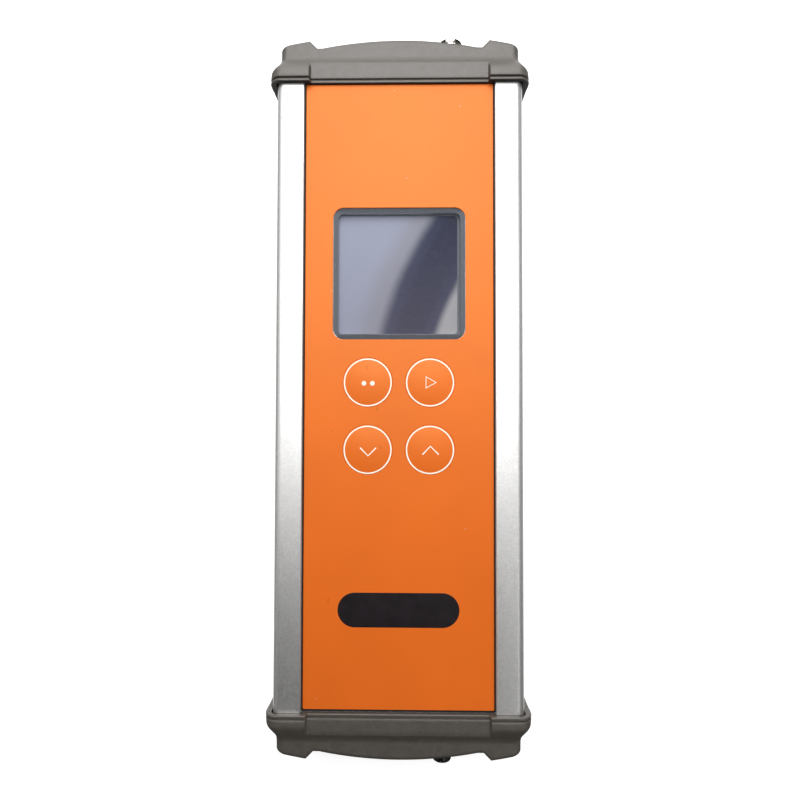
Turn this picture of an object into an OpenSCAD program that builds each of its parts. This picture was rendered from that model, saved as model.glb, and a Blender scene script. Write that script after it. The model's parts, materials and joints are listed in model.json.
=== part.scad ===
// Handheld chlorophyll fluorescence sensor, lying on its back.
// X runs across the instrument, Y along it towards the fibre port, Z out of the keypad.
// The origin is under the middle of the instrument, on the surface that it lies on.

/* [Profile] */
// Width of the aluminium profile
profile_w = 84; // [80:0.5:96]
// Depth of the profile, front to back
profile_d = 36; // [36:0.5:44]
// Length of the profile between its sawn ends
profile_l = 217; // [215:1:260]
// Thickness of the profile's walls and decks
wall = 2; // [1.6:0.1:2.4]
// Width of each raised rail beside the recessed decks
rail_w = 9.6; // [9:0.1:11]
// Depth of the recess between the rails, front and back
recess = 1.7; // [1.5:0.1:2.1]
// Rounding along the profile's long edges
profile_r = 2.5; // [1.5:0.1:3]

/* [Bumpers] */
// Length of profile that each bumper's lip covers
lip_cover = 2.5; // [2:0.1:3]
// Length of a bumper beyond the edge of its lip, at the middle
bumper_l = 16.3; // [16:0.1:22]
// Height of the corner ears over the profile's faces
ear_stand = 2.4; // [2.2:0.1:3.2]
// Height of the bumper between its ears over the profile's rails
mid_stand = 0.65; // [0.4:0.05:1]
// Drop of the ears from their crest to the bumper's end
ear_drop = 3.6; // [2.8:0.1:4]
// Width of each ear on the bumper's face
ear_w = 14.2; // [13:0.1:17]
// Depth of the notch between an ear's tip and the end's curve
notch = 2.4; // [1:0.1:2.6]
// Radius of the end's long curve
end_curve_r = 150; // [120:1:300]
// Rounding of the bumper's long corners
bumper_r = 4; // [3:0.1:5]

/* [Window] */
// Width and length of the square window
window_w = 44.8; // [38:0.1:50]
// Rounding of the window's corners
window_r = 3.6; // [2:0.1:5]
// Width of the dark border printed round the window
border_w = 1.75; // [1.2:0.05:3]
// Distance of the window's middle from the profile's top end
window_in = 67.5; // [65:0.5:72]
// Depth of the display glass under the foil's face
display_depth = 3; // [3:0.1:5]

/* [Keys] */
// Radius of each round key
key_r = 8.2; // [7:0.1:9]
// Distance between the two columns of keys
key_pitch_x = 21; // [20:0.1:24]
// Distance between the two rows of keys
key_pitch_y = 22.7; // [21:0.1:24]
// Distance of the keys' middle from the window's middle
keys_in = 48.4; // [46:0.1:50]
// Travel of a key when it is pressed, half the height of its snap dome
key_travel = 0.35; // [0.3:0.025:0.45]

/* [Foil] */
// Thickness of the keypad foil
foil_t = 0.7; // [0.5:0.05:1]
// Gap between the foil and the top bumper's lip
foil_top_gap = 0.05; // [0.05:0.05:1]
// Gap between the foil and the bottom bumper's lip
foil_low_gap = 0.95; // [0.2:0.05:3]
// Gap between the foil and the rails beside it
foil_gap = 0.4; // [0.2:0.05:0.8]
// Length of the dark label field
label_l = 40.7; // [30:0.1:50]
// Height of the dark label field
label_h = 11.5; // [8:0.1:16]
// Distance of the label field from the profile's bottom end
label_in = 36.3; // [28:0.1:48]

/* [Ports] */
// Distance of the fibre port from the profile's right side
port_in = 23.5; // [22:0.1:28]
// Radius of the fibre port's threaded barrel
port_r = 4.3; // [3.5:0.05:4.8]
// Radius of the bore that takes the fibre's ferrule
ferrule_r = 1.6; // [1.2:0.05:2]
// Reach of both connectors beyond the bumpers' ends
port_reach = 8.1; // [6:0.1:14]
// Distance of the charging socket from the profile's right side
socket_in = 26.6; // [22:0.1:30]
// Radius of the charging socket's barrel
socket_r = 3.3; // [3:0.05:4]
// Radius of the hollow in the charging socket
socket_bore_r = 2.4; // [1.8:0.05:2.6]

/* [Ends] */
// Thickness of the end plates
plate_t = 1.8; // [1.5:0.1:2]
// Thickness of the gaskets under the end plates
gasket_t = 0.6; // [0.4:0.1:0.8]
// Distance of the end screws from the profile's sides
screw_in_x = 6.7; // [6.2:0.1:7.5]
// Distance of the end screws from the profile's faces
screw_in_z = 7; // [6.8:0.1:8]
// Radius of the end screws' thread
screw_r = 1.5; // [1.25:0.05:1.7]
// Length of the end screws under their heads
screw_l = 14; // [10:1:20]

/* [Electronics] */
// Thickness of the circuit boards
board_t = 1.6; // [1:0.1:2]
// Distance of the main board from the profile's bottom end
board_in = 11; // [6:0.5:14]
// Gap between the main board and the detector's board
board_back = 2; // [1:0.5:3]
// Height of the main board's top over the floor of the profile
board_up = 13.9; // [13.4:0.1:15]
// Gap between the battery pack and the screw channels beside it
battery_gap = 5.25; // [1:0.25:12]
// Length of the battery pack
battery_l = 98; // [60:1:110]
// Thickness of the battery pack
battery_t = 10; // [6:0.1:10.4]

/* [Optics] */
// Radius of the lenses and filters
optic_r = 6.25; // [5:0.05:6.35]
// Thickness of the filters
filter_t = 3; // [2:0.1:3.5]
// Length of the optical block along the fibre's axis
block_l = 29; // [28:0.5:34]
// Width of the optical block on the lamp's side of the fibre's axis
block_side = 30; // [28:0.5:31]

/* [Hidden] */

// Fineness of round surfaces
round_fn = 64;
small_fn = 32;

// Overshoot of a cut beyond the face that it opens
cut = 1;
// Overlap of two shapes that are one solid
join = 0.1;

// Heights, from the surface that the instrument lies on
mid_z = profile_d / 2 + ear_stand;
front_z = mid_z + profile_d / 2;
deck_z = front_z - recess;
deck_in_z = deck_z - wall;
floor_z = mid_z - profile_d / 2 + recess + wall;
foil_z = deck_z + foil_t;

// Lengths, from the middle of the profile
profile_end = profile_l / 2;
plate_in = profile_end + gasket_t;
plate_out = plate_in + plate_t;
lip_y = profile_end - lip_cover;
bumper_end = lip_y + bumper_l;
port_end = bumper_end + port_reach;
window_y = profile_end - window_in;
keys_y = window_y - keys_in;
label_y = label_in - profile_end;
block_gap = 3.5;
block_front = plate_in - block_gap;
block_back = block_front - block_l;
board_near = board_in - profile_end;
board_far = block_back - board_t - board_back;

// Running and seating gaps
slip = 0.15;
screw_slip = 0.05;
free_gap = 0.3;

// Distances from the middle plane and from the middle depth
port_x = profile_w / 2 - port_in;
socket_x = profile_w / 2 - socket_in;
deck_half = profile_w / 2 - rail_w;
cavity_half = profile_w / 2 - wall;
screw_x = profile_w / 2 - screw_in_x;
screw_z = profile_d / 2 - screw_in_z;

// A rounded rectangle about the origin
module round_rect(w, h, r) {
    square([w - 2 * r, h], center = true);
    square([w, h - 2 * r], center = true);
    for (sx = [-1, 1], sy = [-1, 1])
        translate([sx * (w / 2 - r), sy * (h / 2 - r)]) circle(r = r, $fn = round_fn);
}

// An X and Z section drawn about the middle depth, run from y0 to y1
module along(y0, y1) {
    translate([0, y1, mid_z]) rotate([90, 0, 0]) linear_extrude(height = y1 - y0) children();
}

// A plate of an X and Y outline, from z0 to z1
module plate(z0, z1) {
    translate([0, 0, z0]) linear_extrude(height = z1 - z0) children();
}

// A round bar along +Y that starts at y
module bar_y(x, y, z, r, l, fn = 64) {
    translate([x, y, z]) rotate([-90, 0, 0]) cylinder(r = r, h = l, $fn = fn);
}

// Whatever is drawn for the top end, at the bottom end
module at_bottom() {
    mirror([0, 1, 0]) children();
}

// Something flat at each of the four screws of an end, about the middle depth
module at_screws() {
    for (sx = [-1, 1], sz = [-1, 1]) translate([sx * screw_x, sz * screw_z]) children();
}

// Profile
channel_r = screw_r + screw_slip;
channel_wall = 1.5;
slot_reach = 2.2;
slot_rib = 1.2;
slot_gap = 0.2;
opening_slip = 0.15;
board_top = floor_z + board_up;
board_low = board_top - board_t;

// Outline of the profile, grown all round by g
module profile_outline(g, r) {
    difference() {
        round_rect(profile_w + 2 * g, profile_d + 2 * g, r);
        for (s = [-1, 1]) translate([0, s * (profile_d / 2 + g)])
            square([2 * (deck_half - g), 2 * recess], center = true);
    }
}

// The hollow inside the profile
module profile_hollow() {
    square([2 * cavity_half, profile_d - 2 * (recess + wall)], center = true);
    for (s = [-1, 1]) translate([s * (cavity_half + deck_half + wall) / 2, 0])
        square([cavity_half - deck_half - wall, profile_d - 2 * wall], center = true);
}

// Screw channels in the corners and the slots that hold the main board
module profile_ribs() {
    at_screws() circle(r = channel_r + channel_wall, $fn = round_fn);
    for (sx = [-1, 1]) {
        for (sz = [-1, 1]) translate([sx * (screw_x + cavity_half) / 2, sz * screw_z])
            square([cavity_half - screw_x + 2 * join, channel_r + channel_wall], center = true);
        for (z = [board_low - slot_rib, board_top + slot_gap])
            translate([sx * (cavity_half - slot_reach / 2 + join), z + slot_rib / 2 - mid_z])
                square([slot_reach + 2 * join, slot_rib], center = true);
    }
}

module profile_body() {
    opening = window_w - 2 * (border_w - opening_slip);
    color("silver") difference() {
        along(-profile_end, profile_end) difference() {
            profile_outline(0, profile_r);
            difference() {
                profile_hollow();
                profile_ribs();
            }
            at_screws() circle(r = channel_r, $fn = small_fn);
        }
        plate(deck_in_z - cut, front_z) translate([0, window_y])
            round_rect(opening, opening, window_r / 2);
        at_keys() translate([0, 0, deck_in_z - cut])
            cylinder(r = key_skirt_r + key_slip, h = wall + 2 * cut, $fn = round_fn);
    }
}

// Keys, named by their column and row
key_slip = 0.2;
key_skirt = 0.7;
key_skirt_r = key_r + key_skirt;
skirt_t = 0.6;
skirt_gap = 0.1;
actuator_r = 2.6;
dome_r = 4.5;
dome_h = 2 * key_travel;
dome_t = 0.2;
dome_touch = 0.02;

module at_key(col, row) {
    translate([col * key_pitch_x / 2, keys_y + row * key_pitch_y / 2, 0]) children();
}

module at_keys() {
    for (col = [-1, 1], row = [-1, 1]) at_key(col, row) children();
}

// Key top flush with the foil, a skirt that stays under the foil and an actuator down to the dome
module key(col, row) {
    dome_top = deck_in_z + dome_h + dome_touch;
    skirt_low = deck_z - skirt_gap - skirt_t;
    color([0.88, 0.48, 0.2]) at_key(col, row) {
        translate([0, 0, skirt_low]) cylinder(r = key_r, h = foil_z - skirt_low, $fn = round_fn);
        translate([0, 0, skirt_low]) cylinder(r = key_skirt_r, h = skirt_t, $fn = round_fn);
        translate([0, 0, dome_top]) cylinder(r = actuator_r, h = foil_z - dome_top, $fn = small_fn);
    }
}

// A snap dome standing on the keypad board: a thin cap of two cones and a flat crown
module dome(col, row) {
    bend_r = dome_r * 0.72;
    bend_h = dome_h * 0.62;
    crown_r = dome_r * 0.3;
    color("gainsboro") at_key(col, row) translate([0, 0, deck_in_z]) rotate_extrude($fn = round_fn)
        polygon([[dome_r, 0], [bend_r, bend_h], [crown_r, dome_h], [0, dome_h], [0, dome_h - dome_t],
            [crown_r, dome_h - dome_t], [bend_r - dome_t, bend_h - dome_t], [dome_r - 2 * dome_t, 0]]);
}

module key_menu() { key(-1, 1); }
module key_start() { key(1, 1); }
module key_down() { key(-1, -1); }
module key_up() { key(1, -1); }
module dome_menu() { dome(-1, 1); }
module dome_start() { dome(1, 1); }
module dome_down() { dome(-1, -1); }
module dome_up() { dome(1, -1); }

// Foil, label and window
label_pocket = 0.1;
label_t = 0.15;
border_t = 0.15;
window_slip = 0.1;

module label_outline(g) {
    r = label_h / 2 + g;
    square([label_l - label_h, 2 * r], center = true);
    for (s = [-1, 1]) translate([s * (label_l - label_h) / 2, 0]) circle(r = r, $fn = round_fn);
}

module keypad_foil() {
    half_w = deck_half - foil_gap;
    low_y = foil_low_gap - lip_y;
    color([0.9, 0.48, 0.18]) difference() {
        plate(deck_z, foil_z) translate([-half_w, low_y])
            square([2 * half_w, lip_y - foil_top_gap - low_y]);
        plate(deck_z - cut, foil_z + cut) translate([0, window_y])
            round_rect(window_w + 2 * window_slip, window_w + 2 * window_slip, window_r + window_slip);
        plate(foil_z - label_pocket, foil_z + cut) translate([0, label_y]) label_outline(window_slip);
        at_keys() translate([0, 0, deck_z - cut])
            cylinder(r = key_r + key_slip, h = foil_t + 2 * cut, $fn = round_fn);
    }
}

module label_inlay() {
    color([0.15, 0.13, 0.15]) plate(foil_z - label_pocket, foil_z - label_pocket + label_t)
        translate([0, label_y]) label_outline(0);
}

module window_border() {
    inner = window_w - 2 * border_w;
    color([0.35, 0.41, 0.44]) plate(deck_z, deck_z + border_t) translate([0, window_y]) difference() {
        round_rect(window_w, window_w, window_r);
        round_rect(inner, inner, window_r / 2);
    }
}

module window_lens() {
    color([0.7, 0.72, 0.78, 0.4]) plate(deck_z + border_t, foil_z)
        translate([0, window_y]) round_rect(window_w, window_w, window_r);
}

// Keypad board under the deck, with its flat tail down to the main board
pad_board_t = 1;
pad_margin = 2.5;
pad_r = 2;
tail_w = 14;
tail_lap = 6;
tail_t = 0.3;
tail_bend = 3;
tail_run = 5;
tail_socket_h = 4;
pad_low = deck_in_z - pad_board_t;
pad_end = keys_y - key_pitch_y / 2 - key_skirt_r - pad_margin;

module keypad_board() {
    w = key_pitch_x + 2 * (key_skirt_r + pad_margin);
    l = key_pitch_y + 2 * (key_skirt_r + pad_margin);
    color("seagreen") plate(pad_low, deck_in_z) translate([0, keys_y]) round_rect(w, l, pad_r);
}

// Section of the tail in Y and Z, drawn from the board's underside to its socket
module tail_section() {
    start = pad_end + tail_lap;
    turn_y = pad_end - tail_run;
    turn_z = pad_low - tail_t - tail_bend;
    foot = board_top + tail_socket_h;
    translate([turn_y, pad_low - tail_t]) square([start - turn_y, tail_t]);
    translate([turn_y, turn_z + tail_t]) intersection() {
        difference() {
            circle(r = tail_bend, $fn = small_fn);
            circle(r = tail_bend - tail_t, $fn = small_fn);
        }
        translate([-tail_bend - cut, 0]) square(tail_bend + cut);
    }
    translate([turn_y - tail_bend, foot]) square([tail_t, turn_z + tail_t - foot]);
}

module keypad_tail() {
    color("goldenrod") rotate([0, 0, 90]) rotate([90, 0, 0]) linear_extrude(height = tail_w, center = true)
        tail_section();
}

// Display under the window
display_z = foil_z - display_depth;
glass_t = 1.8;
glass_lap = 0.6;
glass_w = window_w + 2 * glass_lap;
glass_slip = 0.05;
seal_slip = 0.3;
seal_inset = 0.5;
frame_t = 3.4;
frame_rim = 1;
frame_w = glass_w + 2 * frame_rim;
frame_drop = 0.6;
frame_low = display_z - glass_t - frame_t;
frame_ear = 4;
frame_ear_w = 6;
frame_ear_t = 1;
post_r = 2.2;

// Something flat at each of the four ears, beyond the frame's ends and beside its corners
module at_frame_ears() {
    for (sx = [-1, 1], sy = [-1, 1])
        translate([sx * (frame_w - frame_ear_w) / 2, sy * (frame_w + frame_ear) / 2]) children();
}

module display_gasket() {
    inner = window_w - 2 * (border_w - seal_slip);
    color("dimgray") plate(display_z, deck_in_z) translate([0, window_y]) difference() {
        square(glass_w - 2 * seal_inset, center = true);
        round_rect(inner, inner, window_r / 2);
    }
}

module display_glass() {
    color([0.4, 0.42, 0.55]) plate(display_z - glass_t, display_z) translate([0, window_y])
        square(glass_w, center = true);
}

// Display's metal frame, a tray under the glass with an ear at each post
module display_frame() {
    color("lightslategray") translate([0, window_y, 0]) difference() {
        union() {
            plate(frame_low, display_z - frame_drop) square(frame_w, center = true);
            plate(frame_low, frame_low + frame_ear_t) at_frame_ears()
                square([frame_ear_w, frame_ear + 2 * join], center = true);
        }
        plate(display_z - glass_t, display_z) square(glass_w + 2 * glass_slip, center = true);
    }
}

module display_posts() {
    color("goldenrod") translate([0, window_y, board_top]) at_frame_ears()
        cylinder(r = post_r, h = frame_low - board_top, $fn = 6);
}

// Main board in the profile's slots, and what it carries
board_slip = 0.3;

module main_board() {
    color("darkgreen") plate(board_low, board_top) translate([0, (board_near + board_far) / 2])
        square([2 * (cavity_half - board_slip), board_far - board_near], center = true);
}

// Each chip: x from the middle, y from the board's bottom end, width, length, height
chips = [[-12, 84, 14, 14, 1.4], [14, 86, 10, 10, 1.2], [20, 58, 9, 12, 1.6], [-18, 50, 7, 7, 1],
    [-26, 104, 6, 9, 1.6], [2, 30, 12, 12, 4.5], [-20, 24, 8, 6, 2.4], [24, 26, 7, 7, 3.2]];

module board_chips() {
    color([0.14, 0.14, 0.15]) for (c = chips)
        translate([c[0] - c[2] / 2, board_near + c[1] - c[3] / 2, board_top]) cube([c[2], c[3], c[4]]);
}

// The tail's socket and the wire headers at the board's ends: battery, charging socket and optics
header = [10, 6, 6];
header_edge = 1;
tail_socket_rim = 1;
tail_socket = [tail_w + 2 * tail_socket_rim, 4, tail_socket_h];

module board_sockets() {
    tail_y = pad_end - tail_run - tail_bend + tail_t / 2;
    near_y = board_near + header_edge;
    far_y = board_far - header_edge - header[1];
    color("ivory") {
        translate([-tail_socket[0] / 2, tail_y - tail_socket[1] / 2, board_top]) cube(tail_socket);
        translate([-battery_w / 2, near_y, board_top]) cube(header);
        translate([socket_x - header[0] / 2, near_y, board_top]) cube(header);
        translate([-header[0] / 2, far_y, board_top]) cube(header);
    }
}

// Battery on its foam pad, on the floor of the profile
pad_t = 1;
pad_inset = 2;
battery_in = 17.5;
battery_y = battery_in - profile_end + battery_l / 2;
battery_r = 3;
battery_w = 2 * (screw_x - channel_r - channel_wall - battery_gap);

module battery_pad() {
    color("dimgray") plate(floor_z, floor_z + pad_t) translate([0, battery_y])
        square([battery_w - 2 * pad_inset, battery_l - 2 * pad_inset], center = true);
}

module battery_pack() {
    color("steelblue") plate(floor_z + pad_t, floor_z + pad_t + battery_t) translate([0, battery_y])
        round_rect(battery_w, battery_l, battery_r);
}

// Optical block behind the fibre port, with the lamp's bore across the detector's bore
foot_gap = 0.1;
block_wall = 6;
block_roof = 4.2;
block_left = port_x - block_side;
block_far = optic_r + block_wall;
block_up = optic_r + block_roof;
gasket_in = 1;
gasket_band = 2.2;
foot_low = mid_z - profile_d / 2 + gasket_in + gasket_band + recess + free_gap;
nut_wall = 2.8;
port_nut_r = port_r + nut_wall;
block_foot = mid_z - port_nut_r - foot_gap - foot_low;
optic_bore = optic_r + slip;
mirror_in = 13.5;
mirror_y = block_front - mirror_in;
mirror_t = 1;
mirror_l = 16;
block_screw_r = 1.25;
block_screw_l = 8;
block_screw_room = 2;
block_screw_low = 0.3;
block_screw_z = foot_low + block_foot / 2 - block_screw_low;
block_screw_head = [2.2, 1.4];
block_screw_in = 4;
block_screw_xs = [block_left + block_screw_in, port_x + block_far - block_screw_in];

module at_mirror() {
    translate([port_x, mirror_y, mid_z]) rotate([0, 0, -45]) children();
}

module optical_block() {
    color([0.16, 0.16, 0.17]) difference() {
        union() {
            translate([block_left, block_back, floor_z])
                cube([block_side + block_far, block_l, mid_z + block_up - floor_z]);
            translate([block_left, block_front - cut, foot_low])
                cube([block_side + block_far, block_gap + cut, block_foot]);
        }
        bar_y(port_x, block_back - cut, mid_z, optic_bore, block_l + 2 * cut);
        translate([block_left - cut, mirror_y, mid_z]) rotate([0, 90, 0])
            cylinder(r = optic_bore, h = block_side + cut, $fn = round_fn);
        at_mirror() translate([-mirror_l / 2 - slip, -mirror_t / 2 - slip, -optic_r])
            cube([mirror_l + 2 * slip, mirror_t + 2 * slip, 2 * optic_r + block_up]);
        for (x = block_screw_xs)
            bar_y(x, plate_in - block_screw_l, block_screw_z, block_screw_r + screw_slip,
                block_screw_l + cut, small_fn);
    }
}

// Pan head screw along Y, with its head outside y and its thread inside
module pan_screw(x, y, z, r, l, head_r, head_h) {
    bar_y(x, y - l, z, r, l + join, small_fn);
    difference() {
        bar_y(x, y, z, head_r, head_h, small_fn);
        translate([x, y + head_h * 0.45, z]) rotate([-90, 30, 0])
            cylinder(r = r * 0.85, h = head_h, $fn = 6);
    }
}

module block_screws() {
    color("silver") for (x = block_screw_xs)
        pan_screw(x, plate_out, block_screw_z, block_screw_r,
            plate_t + block_screw_l - block_screw_room, block_screw_head[0], block_screw_head[1]);
}

// A plano-convex lens along Y with its flat side at y
module lens(l, bulge) {
    ball_r = (optic_r * optic_r + bulge * bulge) / (2 * bulge);
    intersection() {
        cylinder(r = optic_r, h = l + bulge, $fn = round_fn);
        translate([0, 0, l + bulge - ball_r]) sphere(r = ball_r, $fn = round_fn);
    }
}

lens_edge = 1.4;
lens_bulge = 1.4;
ring_t = 1.2;
ring_w = 1;
lens_front = block_front - ring_t;
led_room = 7;
led_lens_x = block_left + led_room;
led_filter_x = led_lens_x + lens_edge + lens_bulge + ring_t;
detector_room = 5.6;
emission_y = block_back + detector_room;

module coupling_lens() {
    color([0.8, 0.85, 0.9, 0.5]) translate([port_x, lens_front, mid_z]) rotate([90, 0, 0])
        lens(lens_edge, lens_bulge);
}

module excitation_lens() {
    color([0.8, 0.85, 0.9, 0.5]) translate([led_lens_x, mirror_y, mid_z]) rotate([0, 90, 0])
        lens(lens_edge, lens_bulge);
}

module excitation_filter() {
    color([0.2, 0.3, 0.8]) translate([led_filter_x, mirror_y, mid_z]) rotate([0, 90, 0])
        cylinder(r = optic_r, h = filter_t, $fn = round_fn);
}

module emission_filter() {
    color([0.6, 0.1, 0.12]) bar_y(port_x, emission_y, mid_z, optic_r, filter_t);
}

module dichroic_mirror() {
    color([0.75, 0.65, 0.8]) at_mirror() translate([-mirror_l / 2, -mirror_t / 2, -optic_r])
        cube([mirror_l, mirror_t, 2 * optic_r]);
}

// Rings that hold the lenses and filters in their bores
module lens_rings() {
    color([0.2, 0.2, 0.21]) {
        difference() {
            bar_y(port_x, lens_front, mid_z, optic_r, ring_t);
            bar_y(port_x, lens_front - cut, mid_z, optic_r - ring_w, ring_t + 2 * cut);
        }
        difference() {
            bar_y(port_x, emission_y - ring_t, mid_z, optic_r, ring_t);
            bar_y(port_x, emission_y - ring_t - cut, mid_z, optic_r - ring_w, ring_t + 2 * cut);
        }
        lamp_ring(led_lens_x - ring_t, optic_r - ring_w);
        lamp_ring(led_filter_x - ring_t, optic_r - ring_w / 2);
    }
}

// A ring in the lamp's bore, from x onwards
module lamp_ring(x, inner_r) {
    translate([x, mirror_y, mid_z]) rotate([0, 90, 0]) difference() {
        cylinder(r = optic_r, h = ring_t, $fn = round_fn);
        translate([0, 0, -cut]) cylinder(r = inner_r, h = ring_t + 2 * cut, $fn = round_fn);
    }
}

// Lamp on its board, on the block's side
led_board_w = 22;

module led_board() {
    color("white") translate([block_left - board_t, mirror_y - led_board_w / 2, mid_z - block_up])
        cube([board_t, led_board_w, 2 * block_up]);
}

module excitation_led() {
    led_r = 2.5;
    rim = 0.9;
    body_l = led_r + 0.2;
    color([0.9, 0.9, 0.95, 0.7]) translate([block_left, mirror_y, mid_z]) rotate([0, 90, 0]) {
        cylinder(r = led_r + rim, h = rim, $fn = round_fn);
        cylinder(r = led_r, h = body_l, $fn = round_fn);
        translate([0, 0, body_l]) sphere(r = led_r, $fn = round_fn);
    }
}

// Detector on its board, on the block's back
can_r = 4.6;
can_l = 3.6;
can_rim = 0.5;
can_base_t = 0.5;
can_lip = 1.4;
can_window = 0.4;
board_inset = 0.5;

module detector() {
    color("lightgray") {
        bar_y(port_x, block_back, mid_z, can_r + can_rim, can_base_t);
        difference() {
            bar_y(port_x, block_back, mid_z, can_r, can_l);
            bar_y(port_x, block_back + can_l - can_window, mid_z, can_r - can_lip, cut);
        }
    }
}

module detector_board() {
    w = 2 * (block_far - board_inset);
    color("darkgreen") translate([port_x - w / 2, block_back - board_t, mid_z - block_up])
        cube([w, board_t, 2 * block_up]);
}

// Connectors in the end plates, each drawn along +Y at its own x
flange_r = 6.2;
flange_t = 1.8;
neck_in = 0.25;
nut_t = 2.2;
socket_nut_r = socket_r + nut_wall;
washer_t = 0.6;
washer_in = 0.5;
tail_out = 1;
barrel_tail = washer_t + nut_t + plate_t + tail_out;
edge = 0.4;
free_start = bumper_end + free_gap;

// A barrel with a flange outside the plate, a neck in the bumper and a free end of its own radius
module barrel(x, r, flange) {
    neck_l = free_start - plate_out + barrel_tail + edge;
    bar_y(x, plate_out, mid_z, flange, flange_t);
    bar_y(x, plate_out - barrel_tail, mid_z, r - neck_in, neck_l);
    bar_y(x, free_start, mid_z, r, port_end - edge - free_start);
    translate([x, port_end - edge, mid_z]) rotate([-90, 0, 0])
        rotate_extrude($fn = round_fn) polygon([[0, 0], [r, 0], [r - edge, edge], [0, edge]]);
}

module washer(x, r, bore) {
    low = plate_in - washer_t;
    difference() {
        bar_y(x, low, mid_z, r, washer_t);
        bar_y(x, low - cut, mid_z, bore, washer_t + 2 * cut);
    }
}

module nut(x, r, bore) {
    low = plate_in - washer_t - nut_t;
    difference() {
        bar_y(x, low, mid_z, r, nut_t, 6);
        bar_y(x, low - cut, mid_z, bore, nut_t + 2 * cut);
    }
}

module fibre_port() {
    color("gainsboro") difference() {
        barrel(port_x, port_r, flange_r);
        bar_y(port_x, plate_out - barrel_tail - cut, mid_z, ferrule_r, port_end);
    }
}

module port_washer() {
    color("silver") washer(port_x, port_nut_r - washer_in, port_r - neck_in + slip);
}

module port_nut() {
    color("silver") nut(port_x, port_nut_r, port_r - neck_in + screw_slip);
}

socket_flange_r = 5;
socket_depth = 6;
contact_back = 1.5;

module charge_socket() {
    color([0.1, 0.1, 0.1]) at_bottom() difference() {
        barrel(socket_x, socket_r, socket_flange_r);
        bar_y(socket_x, port_end - socket_depth, mid_z, socket_bore_r, socket_depth + cut);
    }
}

// Four contact pins on the floor of the socket
module charge_contacts() {
    pin_r = 0.4;
    spread = socket_bore_r * 0.5;
    color("gold") at_bottom() for (a = [45 : 90 : 315])
        bar_y(socket_x + spread * cos(a), port_end - socket_depth, mid_z + spread * sin(a), pin_r,
            socket_depth - contact_back, small_fn);
}

module socket_washer() {
    color("silver") at_bottom() washer(socket_x, socket_nut_r - washer_in, socket_r - neck_in + slip);
}

module socket_nut() {
    color("silver") at_bottom() nut(socket_x, socket_nut_r, socket_r - neck_in + screw_slip);
}

// Gasket and plate that close each end
screw_hole_slip = 0.2;
screw_hole_r = screw_r + screw_hole_slip;

module end_gasket() {
    w = profile_w - 2 * gasket_in;
    h = profile_d - 2 * gasket_in;
    color("black") along(profile_end, plate_in) difference() {
        difference() {
            profile_outline(-gasket_in, profile_r - gasket_in);
            difference() {
                square([w - 2 * gasket_band, h - 2 * (gasket_band + recess)], center = true);
                at_screws() circle(r = channel_r + channel_wall, $fn = round_fn);
            }
        }
        at_screws() circle(r = screw_hole_r, $fn = small_fn);
    }
}

// End plate with its screw holes and one hole for the connector
module end_plate(x, r) {
    color([0.3, 0.3, 0.31]) difference() {
        along(plate_in, plate_out) difference() {
            profile_outline(-slip, profile_r);
            at_screws() circle(r = screw_hole_r, $fn = small_fn);
        }
        bar_y(x, plate_in - cut, mid_z, r, plate_t + 2 * cut);
        children();
    }
}

module top_gasket() { end_gasket(); }
module bottom_gasket() { at_bottom() end_gasket(); }

module top_plate() {
    end_plate(port_x, port_r - neck_in + screw_slip)
        for (x = block_screw_xs)
            bar_y(x, plate_in - cut, block_screw_z, block_screw_r + screw_slip,
                plate_t + 2 * cut, small_fn);
}

module bottom_plate() { at_bottom() end_plate(socket_x, socket_r - neck_in + screw_slip); }

// End screws, with their heads on a web inside the bumper's access holes
web_t = 2.4;
head_r = 2.75;
head_h = 2.4;
head_slip = 0.35;
web_y = plate_out + web_t;

module end_screws() {
    color("silver") for (sx = [-1, 1], sz = [-1, 1])
        pan_screw(sx * screw_x, web_y, mid_z + sz * screw_z, screw_r, screw_l, head_r, head_h);
}

module top_screws() { end_screws(); }
module bottom_screws() { at_bottom() end_screws(); }

// Bumper. Its rings stand across Y at distances u from the lip's edge.
// A ring's zone is 0 on the lip, 1 in the groove behind the lip and 2 on the shell.
lip_w = 1;
groove_w = 0.25;
lip_bevel = 0.3;
crest_w = 3;
ear_run = 7.2;
mid_start = 5.5;
mid_run = 6;
mid_fall = 1.9;
side_extra = 0.1;
side_stand = ear_stand + side_extra;
side_mid = 1.85;
side_in = 1.3;
side_step = 0.9;
corner_fall = 0.4;
pocket_sharp = 0.9;
flange_room = 0.2;
zone_low = [0.65, 0.95, 0];
mid_low = [0.55, 0.75, 0];
end_r = 2.2;
end_land = 0.2;
last_u = crest_w + ear_run + end_land;
ear_x = profile_w / 2 + side_stand - ear_w;
tip_in = 1;
tip_x = ear_x + tip_in;
ramp_in = 0.6;
ramp_w = 1.4;
tip_slope = 0.165;
tip_bow = 0.012;

function smooth(t) = let (c = min(1, max(0, t))) c * c * (3 - 2 * c);
function drop(u) = ear_drop * smooth((u - crest_w) / ear_run);
function mid_drop(u) = mid_fall * smooth((u - mid_start) / mid_run);
function corner_r(u) = bumper_r - corner_fall * smooth((u - crest_w) / ear_run);
function ear_up(u, zone) = ear_stand - zone_low[zone] - drop(u);
function ear_out(u, zone) = side_stand - zone_low[zone] / 2 - drop(u);
function mid_up(u, zone) = min(mid_stand - mid_low[zone] - mid_drop(u), ear_up(u, zone));
function mid_out(u, zone) = min(side_mid - mid_low[zone] / 2 - 1.5 * mid_drop(u), ear_out(u, zone));

// Distance of the end's outline from the lip's edge at x: a long curve, a notch and an ear's tip
function curve_u(x) = bumper_l - end_curve_r + sqrt(end_curve_r * end_curve_r - x * x);
function tip_u(x) = let (d = x - tip_x) curve_u(tip_x - notch) + notch - tip_slope * d - tip_bow * d * d;
function end_u(x) = x < tip_x - notch ? curve_u(x)
    : x < tip_x ? curve_u(tip_x - notch) + x - (tip_x - notch) : tip_u(x);

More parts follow.
